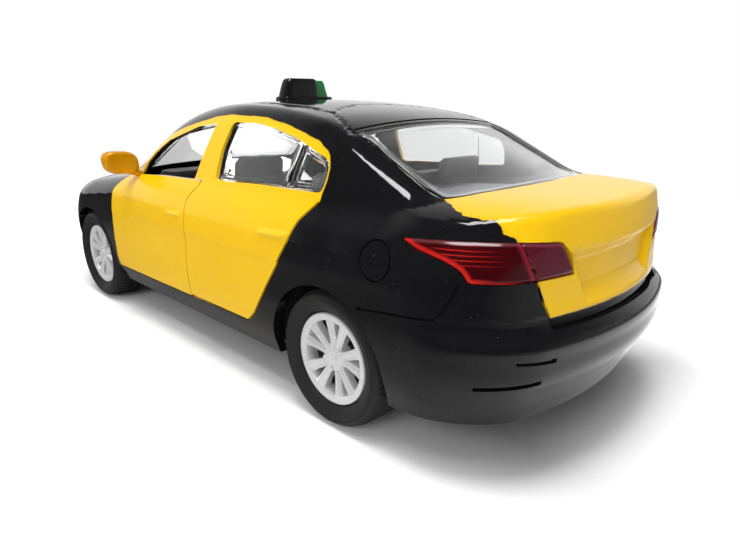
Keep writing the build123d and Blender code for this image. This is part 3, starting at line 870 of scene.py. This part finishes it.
def dress_pair(obj, mat, body, slot, *nodes):
    """Dress a left piece, and its mirror image under the matching names of the right side."""
    right = mirrored(obj, on_right(obj.name))
    dress(obj, mat, body, slot, *nodes)
    dress(right, mat, on_right(body), slot, *map(on_right, nodes))


def on_right(name):
    """Name of a left piece, body or node, turned into that of its twin."""
    return name.replace("left", "right")


# ------------------------------------------------------------------ skin
def slot_tool(outline, axis, low, high, floor, both_sides=True):
    """Shallow cutter: an outline carried along an axis, kept outside an inset form."""
    tool = prism(outline, axis, low, high)
    if both_sides:
        tool = with_right(tool)
    return combine(tool, floor, "DIFFERENCE", keep_tool=True)


def engraved_lines(floor):
    """Cutters for seams, flap and slots in the skin."""
    flap_x, flap_z, flap_radius = FUEL_FLAP
    flap = combine(prism(circle(flap_x, flap_z, flap_radius), ACROSS, *SIDEWAYS),
                   prism(circle(flap_x, flap_z, flap_radius - 0.2), ACROSS, 11, 41), "DIFFERENCE")
    bonnet_side = [(27.5, 16.6), (34.0, 17.6), (42.0, 17.4), (50.0, 15.6), (54.6, 12.0)]
    bonnet_front = [(54.6, 12.0), (56.3, 6.0), (56.6, 0.0), (56.3, -6.0), (54.6, -12.0)]
    lid_side = [(15.3, 22.2), (14.9, 20.9), (14.3, 19.7), (13.8, 18.6), (13.5, 17.4)]
    reflector = [(13.9, 13.95), (13.9, 14.5), (18.3, 14.85), (18.3, 14.3)]
    return [
        slot_tool(ribbon(REAR_DOOR_SEAM, 0.26), ACROSS, *SIDEWAYS, floor),
        combine(with_right(flap), floor, "DIFFERENCE", keep_tool=True),
        slot_tool(ribbon(BUMPER_LINE, 0.3), ACROSS, *SIDEWAYS, floor),
        slot_tool(ribbon(bonnet_side, 0.28), UP, 17, 40, floor),
        slot_tool(ribbon(bonnet_front, 0.28), UP, 15, 40, floor, both_sides=False),
        slot_tool(ribbon(lid_side, 0.24), ALONG, *BEHIND, floor),
        slot_tool(rounded(reflector, 0.2), ALONG, *BEHIND, floor),
    ]


def openings():
    """Cutters for windows, arches, lamps, shelf and grille."""
    # outline on the side, how far from the middle its cutter starts
    rear_window = rounded(REAR_WINDOW, SMALL_CORNER)
    through_side = [(grown(FRONT_DOOR, DOOR_GAP), 12), (FRONT_WINDOW, 8), (rear_window, 8),
                    (circle(*REAR_ARCH), 14), (circle(*FRONT_ARCH), 14)]
    tools = [with_right(prism(outline, ACROSS, inner, SIDEWAYS[1])) for outline, inner in through_side]
    tools += [
        prism(rounded(BACKLIGHT, SMALL_CORNER), UP, 27.2, 60),
        prism(rounded(WINDSCREEN, WINDSCREEN_CORNER), UP, 27.0, 60),
        with_right(fan_tool(TAIL_LAMP, from_tail_corner, 5, 24)),
        with_right(fan_tool(HEADLAMP, from_nose_corner, 5, 28)),
        fan_tool(GRILLE, from_front, 10, 30),
        fan_tool(INTAKE, from_front, 10, 30),
    ]
    deep = form_solid("deep", inset_field(0.95, SHELL_BOTTOM - 2), 70, 30, 60)
    shelf = [(13.5, 17.0), (13.6, 18.15), (-13.6, 18.15), (-13.5, 17.0)]
    low_slot = [(15.4, 11.75), (15.4, 12.3), (20.8, 11.8), (20.8, 11.3)]
    tools.append(slot_tool(shelf, ALONG, *BEHIND, deep, both_sides=False))
    tools.append(slot_tool(low_slot, ALONG, *BEHIND, deep))
    discard(deep)
    return tools


def build_skin(paint):
    """Shell and front doors from the body's form."""
    shell = form_solid("body_shell_skin", inset_field(0.0, SHELL_BOTTOM - 2.5))
    below = prism([(-80, -40), (80, -40), (80, 40), (-80, 40)], UP, -5, SHELL_BOTTOM)
    combine(shell, below, "DIFFERENCE")
    floor = form_solid("floor_of_lines", inset_field(LINE_DEPTH, SHELL_BOTTOM - 2), 110, 44, 90)
    lines = engraved_lines(floor)
    discard(floor)
    inner = form_solid("inner", inset_field(WALL, SHELL_BOTTOM - 3), 80, 30, 60)
    combine(shell, inner, "DIFFERENCE")
    door = combine(duplicate(shell, "door_left_skin"), prism(FRONT_DOOR, ACROSS, *SIDEWAYS), "INTERSECT")
    for tool in openings() + lines:
        combine(shell, tool, "DIFFERENCE")
    right = mirrored(door, "door_right_skin")
    for piece, body, slot, cad in ((shell, BODY, "black_paint", "body_shell"),
                                   (door, "door_left", "yellow_paint", "door_left"),
                                   (right, "door_right", "yellow_paint", "door_right")):
        mark_paint(piece)
        shade_by_form(piece)
        dress(piece, paint, body, slot, cad)


# ------------------------------------------------------------------ glass and lamps
def framed(frame, step, base=0.0):
    """Depth of a pane that lies lower than its own bevelled frame."""
    def depth(uv, inside):
        return base + step * ramp(frame, frame + 0.35, inside) + 0.12 * ramp(0.15, 0, inside)
    return depth


def build_glass():
    """Windscreen, rear glass and rear side windows as one clear moulding."""
    thick = 0.7
    side_depth = framed(0.5, 0.3, 0.25)
    side = patch("pane", rounded(REAR_PANE, 0.7), from_side, side_depth, thick)
    quarter = patch("quarter", rounded(QUARTER_PANE, 0.6), from_side, side_depth, thick)
    panes = [side, quarter, mirrored(side, "pane_right"), mirrored(quarter, "quarter_right")]
    for outline, corner, step in ((BACKLIGHT, SMALL_CORNER, 0.3), (WINDSCREEN, WINDSCREEN_CORNER, 0.35)):
        rim = grown(rounded(outline, corner), -FIT_GAP)
        panes.append(patch("end", rim, from_below, framed(0.9, step, 0.1), thick, 20, 240))
    glass = smooth_by_angle(joined(panes, "window_glass"))
    dress(glass, clear_glass(), BODY, "clear_plastic", "window_insert")


def tail_lamp_depth(uv, inside):
    """Rounded rim, and a groove between the lamp's two parts."""
    divider = uv[..., 0] - np.interp(uv[..., 1], LAMP_HEIGHTS, [7.5, 9.1])
    return 0.25 * ramp(0.4, 0, inside) + 0.22 * notch(divider, 0.22) - 0.12


def build_tail_lamps():
    """Red lamps round the rear corners."""
    outline = rounded(grown(TAIL_LAMP, -FIT_GAP), 0.5)
    lamp = patch("tail_lamp_left_lens", outline, from_tail_corner, tail_lamp_depth, 1.0, 40, 220)
    x, y, z = points_of(lamp).T
    along = np.arctan2(np.abs(y) - CORNER_Y, SPINE_REAR - x) * LAMP_ROUND
    store(lamp.data, "along", along + np.interp(z, LAMP_HEIGHTS, [1.6, 0.0]))
    store(lamp.data, "height", z)
    # rows of the outline that make its top and its lower edge
    for name, first, last in (("top_edge", 0, 6), ("low_edge", 7, len(TAIL_LAMP))):
        line = np.array((TAIL_LAMP + TAIL_LAMP[:1])[first:last + 1])
        store(lamp.data, name, line_distance(np.stack([along, z], 1), line[:-1], line[1:]))
    smooth_by_angle(lamp)
    dress_pair(lamp, red_lens(), BODY, "lamp_red", "tail_lamp_left")


def bowl_depth(uv, inside):
    """Two round reflectors behind the lens."""
    depth = 0.9 + 0 * inside
    for u, v, radius in ((6.8, 18.1, 1.5), (11.8, 18.9, 1.4)):
        away = np.hypot(uv[..., 0] - u, uv[..., 1] - v)
        depth = depth + 0.9 * ramp(radius, radius * 0.3, away) - 0.35 * ramp(0.5, 0.2, away)
    return depth


def build_headlamps():
    """Clear lenses over bright bowls at the nose's corners."""
    lens_rim, bowl_rim = grown(HEADLAMP, -0.06), grown(HEADLAMP, -0.1)
    lens = patch("headlamp_left_lens", lens_rim, from_nose_corner, framed(0.3, 0.1), 0.5, 12, 140)
    bowl = patch("headlamp_left_bowl", bowl_rim, from_nose_corner, bowl_depth, 0.4, 30, 140)
    chrome = moulded("lamp_reflector", (0.80, 0.80, 0.82), 0.18, 1200.0, 0.01, metal=1.0)
    dress_pair(smooth_by_angle(lens), clear_glass(), BODY, "lamp_clear", "headlamp_left")
    dress_pair(smooth_by_angle(bowl), chrome, BODY, "lamp_clear")


def grille_depth(uv, inside):
    """Slats inside a raised frame."""
    slats = 0.5 - 0.5 * np.cos(uv[..., 1] * 2 * math.pi / 0.7)
    return 0.1 + (0.35 + 0.5 * slats) * ramp(0.3, 0.55, inside)


def build_grille():
    """Grille and lower intake between the headlamps."""
    parts = [patch("bars", grown(rounded(outline, corner), -FIT_GAP), from_front, grille_depth, 0.8, 40, 220)
             for outline, corner in ((GRILLE, 0.4), (INTAKE, 0.6))]
    grille = smooth_by_angle(joined(parts, "grille_bars"))
    dress(grille, moulded("grille_black", (0.012, 0.012, 0.013), 0.35), BODY, "grille_black", "grille")


# ------------------------------------------------------------------ doors' fittings
def handle_depth(uv, inside):
    """Proud rounded bar."""
    return 0.35 - 1.0 * np.sqrt(np.clip(inside / 0.6, 0, 1))


def build_handles():
    """Pull handles on front and rear doors."""
    paint = moulded("handle_yellow", (0.95, 0.60, 0.007), 0.24, 400.0, 0.02, vary=0.03)
    rear = rounded([(-21.0, 22.35), (-21.1, 23.6), (-27.1, 23.95), (-27.2, 22.7)], 0.6)
    front = rounded([(4.0, 21.5), (3.9, 22.7), (-0.7, 22.9), (-0.8, 21.7)], 0.55)
    handles = [patch(name, outline, from_side, handle_depth, 1.0, 14, 90)
               for name, outline in (("handle_rear_left", rear), ("handle_front_left", front))]
    for handle, body in zip(handles, (BODY, "door_left")):
        dress_pair(smooth_by_angle(handle, 50), paint, body, "yellow_paint")


def super_section(centre, across, up, half_wide, half_high, power, count=40):
    """Ring of points on a rounded rectangle."""
    ring = []
    for k in range(count):
        turn = 2 * math.pi * k / count
        c, s = math.cos(turn), math.sin(turn)
        u = math.copysign(abs(c) ** (2 / power), c) * half_wide
        v = math.copysign(abs(s) ** (2 / power), s) * half_high
        ring.append(np.array(centre) + u * np.array(across) + v * np.array(up))
    return ring


def loft(name, rings):
    """Closed mesh through rings of points, with flat ends."""
    count = len(rings[0])
    points = [p for ring in rings for p in ring]
    faces = strips(len(rings), count)
    faces.append(tuple(range(count)))
    faces.append(tuple(range((len(rings) - 1) * count, len(rings) * count))[::-1])
    return closed_object(name, points, faces)


def build_mirrors():
    """Door mirrors: a rounded housing with a shallow face towards the rear, on a foot."""
    # x, share of the full section
    housing_rows = [(16.85, 0.70), (16.75, 0.80), (16.85, 0.90), (17.15, 0.97), (17.8, 1.0), (18.6, 0.97),
                    (19.2, 0.86), (19.6, 0.66), (19.75, 0.40)]
    # y, z, half width, half height
    foot_rows = [(20.6, 26.7, 1.5, 0.6), (21.8, 27.0, 1.3, 0.6), (23.2, 27.4, 1.1, 0.6)]
    housing = loft("housing", [
        super_section((x, 23.95, 28.75), (0, 1, 0.06), (0, 0.12, 1), 2.95 * share, 1.95 * share, 3.0)
        for x, share in housing_rows])
    foot = loft("foot", [super_section((18.3, y, z), (1, 0, 0), (0, 0.2, 1), wide, high, 3.0, 24)
                         for y, z, wide, high in foot_rows])
    # amber of the mirrors, its own orange darkened by painted shade
    amber_and_painted_shade = moulded("mirror_amber", AMBER_AND_PAINTED_SHADE, 0.25, 500.0, 0.02, specular=0.4, vary=0.1)
    mirror = smooth_by_angle(joined([housing, foot], "mirror_left_housing"))
    dress_pair(mirror, amber_and_painted_shade, "door_left", "mirror_yellow", "mirror_left")


# ------------------------------------------------------------------ sign
def sign_block(name, rows, power, count):
    """Rounded block across the roof, from rows of y, height, half width and half depth."""
    return loft(name, [super_section((SIGN_X, y, z), (0, 1, 0), (1, 0, 0), wide, deep, power, count)
                       for y, z, wide, deep in rows])


def build_sign():
    """Black sign box on its flange, with a green lamp at the right end."""
    flange_rows = [(-0.1, 38.3, 5.2, 1.9), (-0.1, 39.2, 5.2, 1.9), (-0.1, 39.45, 5.05, 1.75)]
    box_rows = [(1.1, 39.4, 3.6, 1.3), (1.0, 40.6, 3.35, 1.2), (0.85, 41.7, 3.1, 1.1),
                (0.8, 42.15, 2.9, 1.0), (0.8, 42.35, 2.5, 0.8)]
    lamp_rows = [(-3.2, 39.4, 1.35, 1.2), (-2.95, 40.6, 1.2, 1.1), (-2.8, 41.7, 1.0, 1.0),
                 (-2.75, 42.05, 0.8, 0.8)]
    flange, box = sign_block("flange", flange_rows, 5.0, 60), sign_block("box", box_rows, 6.0, 60)
    sign = smooth_by_angle(joined([flange, box], "roof_sign_box"))
    lamp = smooth_by_angle(sign_block("roof_sign_green_lamp", lamp_rows, 5.0, 48))
    black = moulded("sign_black", (0.010, 0.010, 0.011), 0.2, specular=0.4)
    dress(sign, black, BODY, "sign_black", "roof_sign")
    green = moulded("lamp_green", (0.01, 0.22, 0.05), 0.25, coat=0.5)
    dress(lamp, green, BODY, "lamp_green", "roof_sign_lamp")


# ------------------------------------------------------------------ interior
def cushion(name, centre, half, lean=0.0, power=4.0, rows=9):
    """Padded block, rounded on all edges and leaning back by a share of its height."""
    rings = []
    for k in range(rows):
        level = -1 + 2 * k / (rows - 1)
        share = (1 - abs(level) ** 6) ** 0.25 * 0.16 + 0.84 if abs(level) < 1 else 0.84
        z = centre[2] + level * half[2]
        middle = (centre[0] - lean * (z - centre[2] + half[2]), centre[1], z)
        rings.append(super_section(middle, (1, 0, 0), (0, 1, 0), half[0] * share, half[1] * share, power))
    return loft(name, rings)


def build_interior():
    """Grey seats and rear shelf, and a dashboard with a pale top and a black hood."""
    seats = [cushion("floor_pan", (1.2, 0, 10.95), (22.6, 17.0, 0.5), power=12.0, rows=3)]
    for y in (-8.4, 8.4):
        seats.append(cushion("seat", (3.2, y, 13.4), (5.0, 5.2, 2.2)))
        seats.append(cushion("back", (-0.6, y, 20.3), (1.7, 5.0, 7.2), 0.28))
        seats.append(cushion("head", (-3.7, y + math.copysign(2.4, y), 27.4), (1.1, 4.4, 2.9), 0.15, 3.0))
    seats.append(cushion("bench", (-13.5, 0, 13.4), (5.4, 16.6, 2.2)))
    seats.append(cushion("bench_back", (-18.6, 0, 20.6), (1.9, 16.2, 7.2), 0.22))
    for y in (-12.9, 12.9):
        seats.append(cushion("rear_head", (-25.6, y, 28.4), (1.1, 4.6, 1.7), 0.15))
    seats.append(cushion("parcel_shelf", (-33.0, 0, 26.0), (10.0, 16.0, 0.5), power=12.0, rows=3))
    interior = smooth_by_angle(joined(seats, "interior_seats"), 50)
    grey = moulded("seat_grey", (0.085, 0.085, 0.09), 0.5, 1100.0, 0.04)
    dress(interior, grey, BODY, "tub_grey", "interior_tub")
    shelf = cushion("dash_top", (14.5, -5.7, 23.4), (3.5, 10.8, 3.2), -1.6)
    hood = cushion("dashboard", (19.2, 10.8, 22.2), (3.0, 6.0, 4.4), 0.12)
    dress(smooth_by_angle(shelf, 50), moulded("dash_pale", (0.80, 0.80, 0.79), 0.5), BODY, "tub_grey")
    black = moulded("dash_black", (0.008, 0.008, 0.009), 0.6, specular=0.3)
    dress(smooth_by_angle(hood, 50), black, BODY, "tub_grey")


# ------------------------------------------------------------------ wheels
def tread(radius, y, k):
    """Radius with cross grooves in the tread."""
    if radius < TYRE_RADIUS - 0.3:
        return radius
    stagger = 1.5 if y > FACE_Y - 3.2 else 0
    cross = 0.5 + 0.5 * math.cos(2 * math.pi * k / 4 + stagger)
    return radius - (0.16 if cross > 0.8 else 0.0)


def build_tyre(x):
    """Tyre with rounded shoulders, a bead line on its wall and a grooved tread."""
    # radius, depth behind the wheel's face
    wall = [(RIM_RADIUS, 0.75), (6.05, 0.45), (6.4, 0.0), (7.0, -0.35), (7.6, -0.5), (7.75, -0.4),
            (7.9, -0.48), (8.2, -0.3), (8.45, 0.0), (8.68, 0.5), (8.8, 1.1)]
    run = [(TYRE_RADIUS, 1.8)]
    for groove in (2.6, 4.2):
        run += [(TYRE_RADIUS, groove), (8.6, groove + 0.1)]
        run += [(8.6, groove + 0.35), (TYRE_RADIUS, groove + 0.45)]
    back = [(TYRE_RADIUS, 5.3), (8.7, 5.9), (8.4, 6.4), (7.9, 6.8), (6.8, 6.9), (RIM_RADIUS, 6.7)]
    return smooth_by_angle(lathe(wall + run + back, x, segments=240, closed=True, radius_of=tread), 35)


def spoke(angle, side, x):
    """Tapered spoke with a raised middle, on one side of its pair's middle angle."""
    # radius, degrees from the pair's middle, half width, depth of the face
    rows = ((1.0, 11, 0.50, 0.75), (2.4, 13, 0.55, 0.66), (3.9, 14.5, 0.62, 0.48), (5.3, 15.5, 0.85, 0.36))
    # share of the half width, depth under the face
    profile = ((-1, 1.3), (-1, 0.3), (-0.62, 0.08), (-0.5, 0.16), (-0.12, 0.0),
               (0.12, 0.0), (0.5, 0.16), (0.62, 0.08), (1, 0.3), (1, 1.3))
    sections = []
    for radius, turn, half, depth in rows:
        way = math.radians(angle + side * turn)
        out = np.array([math.cos(way), 0, math.sin(way)])
        across = np.array([-out[2], 0, out[0]])
        middle = np.array([x, FACE_Y, WHEEL_Z]) + radius * out
        sections.append([middle + share * half * across - np.array([0, depth + low, 0])
                         for share, low in profile])
    return loft("spoke", sections)


def build_rim(x):
    """Ten-spoke rim: broad lip, barrel, spokes in pairs, hub cap and five nuts."""
    seat = RIM_RADIUS - 0.02
    # radius, depth behind the wheel's face
    lip_rows = [(seat, 0.8), (seat, 0.42), (5.82, 0.3), (5.66, 0.26), (5.1, 0.36), (4.92, 0.5), (4.85, 0.8),
                (5.05, 3.0), (5.05, 6.2), (seat, 6.2)]
    hub_rows = [(0.01, 0.35), (0.62, 0.38), (0.8, 0.5), (0.86, 0.66), (1.55, 0.72), (1.85, 0.95), (1.9, 2.4),
                (0.01, 2.4)]
    nut_rows = [(0.01, 0.45), (0.2, 0.45), (0.3, 0.58), (0.3, 1.3), (0.01, 1.3)]
    nut_circle = 1.45
    parts = [lathe(lip_rows, x, segments=120, closed=True), lathe(hub_rows, x)]
    for pair in range(5):
        middle = 99 + 72 * pair
        parts += [spoke(middle, side, x) for side in (1, -1)]
        way = math.radians(middle + 36)
        nut_x, nut_z = x + nut_circle * math.cos(way), WHEEL_Z + nut_circle * math.sin(way)
        parts.append(lathe(nut_rows, nut_x, nut_z, segments=12))
    return smooth_by_angle(joined(parts, "rim"), 24)


def build_wheels():
    """Four wheels, each as a tyre, a rim and a dark disc behind the spokes."""
    rubber = moulded("tyre_rubber", (0.018, 0.018, 0.018), 0.55, 1500.0, 0.03, specular=0.35, vary=0.2)
    silver = moulded("rim_silver", (0.90, 0.90, 0.91), 0.3, 700.0, 0.03, metal=0.45, vary=0.05)
    dark = moulded("wheel_inside", (0.010, 0.010, 0.010), 0.5)
    disc_rows = [(0.01, 2.3), (5.07, 2.3), (5.07, 3.2), (0.01, 3.2)]
    for end, x in (("front", 36.8), ("rear", -33.9)):
        for kind, piece, mat, slot in (("tyre", build_tyre(x), rubber, "tyre_rubber"),
                                       ("rim", build_rim(x), silver, "rim_silver"),
                                       ("disc", lathe(disc_rows, x, segments=72), dark, "wheel_black")):
            for side in ("left", "right"):
                node = f"{kind}_{end}_{side}"
                one = piece if side == "left" else mirrored(piece, node)
                one.name = node + "_piece"
                cad_nodes = [] if kind == "disc" else [node]
                dress(one, mat, end + "_wheels", slot, *cad_nodes)


def finish_cad():
    """Better materials on the CAD pieces that stay as they are."""
    base = moulded("base_black", (0.016, 0.016, 0.017), 0.45, 800.0, 0.04)
    steel = moulded("steel", (0.45, 0.45, 0.46), 0.3, 1500.0, 0.01, metal=1.0)
    motor = moulded("motor_black", (0.022, 0.022, 0.024), 0.4, 900.0, 0.03)
    wheel = moulded("steering_black", (0.012, 0.012, 0.013), 0.35)
    chosen = {"chassis_base": base, "pullback_motor": motor, "steering_wheel": wheel}
    for pair in (("front_axle", "rear_axle"), ("base_screw_front", "base_screw_rear"),
                 ("door_pin_left", "door_pin_right")):
        chosen.update(dict.fromkeys(pair, steel))
    for name, mat in chosen.items():
        for slot in frame["nodes"][name].material_slots:
            slot.material = mat


build_skin(body_paint())
for build in (build_glass, build_tail_lamps, build_headlamps, build_grille, build_handles, build_mirrors,
              build_sign, build_interior, build_wheels, finish_cad):
    build()


# ------------------------------------------------------------------ set
def length_of(x, y):
    """Length of a flat vector."""
    return math_node("SQRT", x * x + y * y)


def beyond(value, limit):
    """How far a coordinate lies past a limit, on either side."""
    return larger(abs(value) - limit, 0.0)


def xyz_of(tree, value):
    """Three coordinates of a vector."""
    parts = added(tree, "SeparateXYZ", {"Vector": value})
    return [Value(parts, axis) for axis in range(3)]


def ray_kind(tree, *names):
    """1 for rays of the named kinds, two at most."""
    path = added(tree, "LightPath")
    kinds = [Value(path, name) for name in names]
    return kinds[0] if len(kinds) == 1 else larger(*kinds)


def floor_material():
    """White floor keeping its shadow, plus a painted shadow by the car and painted shade in gloss on its
    left.
    """
    mat, tree, principled = material("floor_white")
    tree.nodes.remove(principled)
    x, y, _ = xyz_of(tree, Value(added(tree, "NewGeometry"), "Position"))
    away = length_of(x, y)
    # tones from here on, with limits in metres
    # painted shade: the floor that gloss mirrors is dark on the car's left side
    mirrored_tone = spread(x * 0.3 + y, -0.03, 0.05, 1.0, 0.05) + spread(x, -0.03, 0.10, 0.0, 0.14)
    mirrored_tone = mirrored_tone * spread(away, 0.095, 0.13, 1.25, 0.35)
    # painted shadow: the floor that the camera sees is darker within 2 cm of the car's outline, shifted
    # towards its right
    beside = length_of(beyond(x, 0.054), beyond(y + 0.007, 0.016))
    seen_tone_and_painted_shadow = spread(beside, 0.0, 0.020, 0.5, 1.45)
    lighting = mix(ray_kind(tree, "Is Glossy Ray"), (0.8, 0.8, 0.8), mirrored_tone)
    direct = ray_kind(tree, "Is Camera Ray", "Is Transmission Ray")
    matt = added(tree, "BsdfDiffuse", {"Color": mix(direct, lighting, seen_tone_and_painted_shadow)})
    blended(tree, spread(away, 0.10, 0.20) * direct, matt, added(tree, "Emission"))
    return mat


def build_floor():
    """Level floor that reaches past all that the camera sees."""
    corners = [(-FLOOR, -FLOOR, 0), (FLOOR, -FLOOR, 0), (FLOOR, FLOOR, 0), (-FLOOR, FLOOR, 0)]
    floor = make_object("floor", corners, [(0, 1, 2, 3)])
    floor.data.materials.append(floor_material())


def looking(way):
    """Turn of a camera or lamp that looks one way."""
    return Vector(way).to_track_quat("-Z", "Y").to_euler()


def placed(name, data, place, way):
    """Camera or lamp at a place, looking one way."""
    obj = bpy.data.objects.new(name, data)
    obj.location = place
    obj.rotation_euler = looking(way)
    bpy.context.collection.objects.link(obj)
    return obj


def build_camera():
    """Camera behind the car's left rear corner."""
    data = bpy.data.cameras.new("camera")
    data.sensor_width = SENSOR
    data.lens = FOCAL_PIXELS / IMAGE_WIDTH * SENSOR
    data.clip_start = 0.005
    camera = placed("camera", data, CAMERA_PLACE, CAMERA_WAY)
    bpy.context.scene.camera = camera


def build_lamps():
    """Soft lamps. The first one only glints in gloss, and the others only light what is matt."""
    for name, place, size, watts in (("glint_above", (-0.06, 0.06, 0.55), 0.26, 3.8),
                                     ("key_above", (-0.06, 0.06, 0.55), 0.14, 1.1),
                                     ("soft_above", (-0.02, 0.06, 0.62), 0.60, 1.9),
                                     ("fill_left", (-0.20, 0.60, 0.30), 0.35, 1.6)):
        data = bpy.data.lights.new(name, "AREA")
        data.size = size
        data.energy = watts
        lamp = placed(name, data, place, Vector(CAR_MIDDLE) - Vector(place))
        lamp.visible_diffuse = name != "glint_above"
        lamp.visible_glossy = name == "glint_above"


def room(tree):
    """Tone of the room by direction, as gloss mirrors it."""
    x, y, z = xyz_of(tree, Value(added(tree, "TexCoord"), "Generated"))
    low = spread(z, 0.6, 0.2)
    backdrop = spread(x * 0.7 - y * 0.7, 0.05, 0.5) * spread(z, 0.75, 0.30)
    ahead = spread(x, 0.7, 0.95) * low
    right = spread(y, -0.3, -0.8, 0.0, 0.5) * low
    return spread(larger(larger(backdrop, ahead), right), 0.0, 1.0, 0.05, 1.0)


def build_world():
    """Even white surroundings, with a darker room for gloss to mirror."""
    world = bpy.data.worlds.new("studio")
    world.use_nodes = True
    tree = world.node_tree
    lighting = mix(ray_kind(tree, "Is Glossy Ray"), (0.34, 0.34, 0.34), room(tree))
    direct = ray_kind(tree, "Is Camera Ray", "Is Transmission Ray")
    feed(tree.nodes["Background"], {"Color": mix(direct, lighting, (1.0, 1.0, 1.0)), "Strength": 1.0})
    bpy.context.scene.world = world


build_floor()
build_camera()
build_lamps()
build_world()
bpy.context.scene.view_settings.view_transform = "Standard"
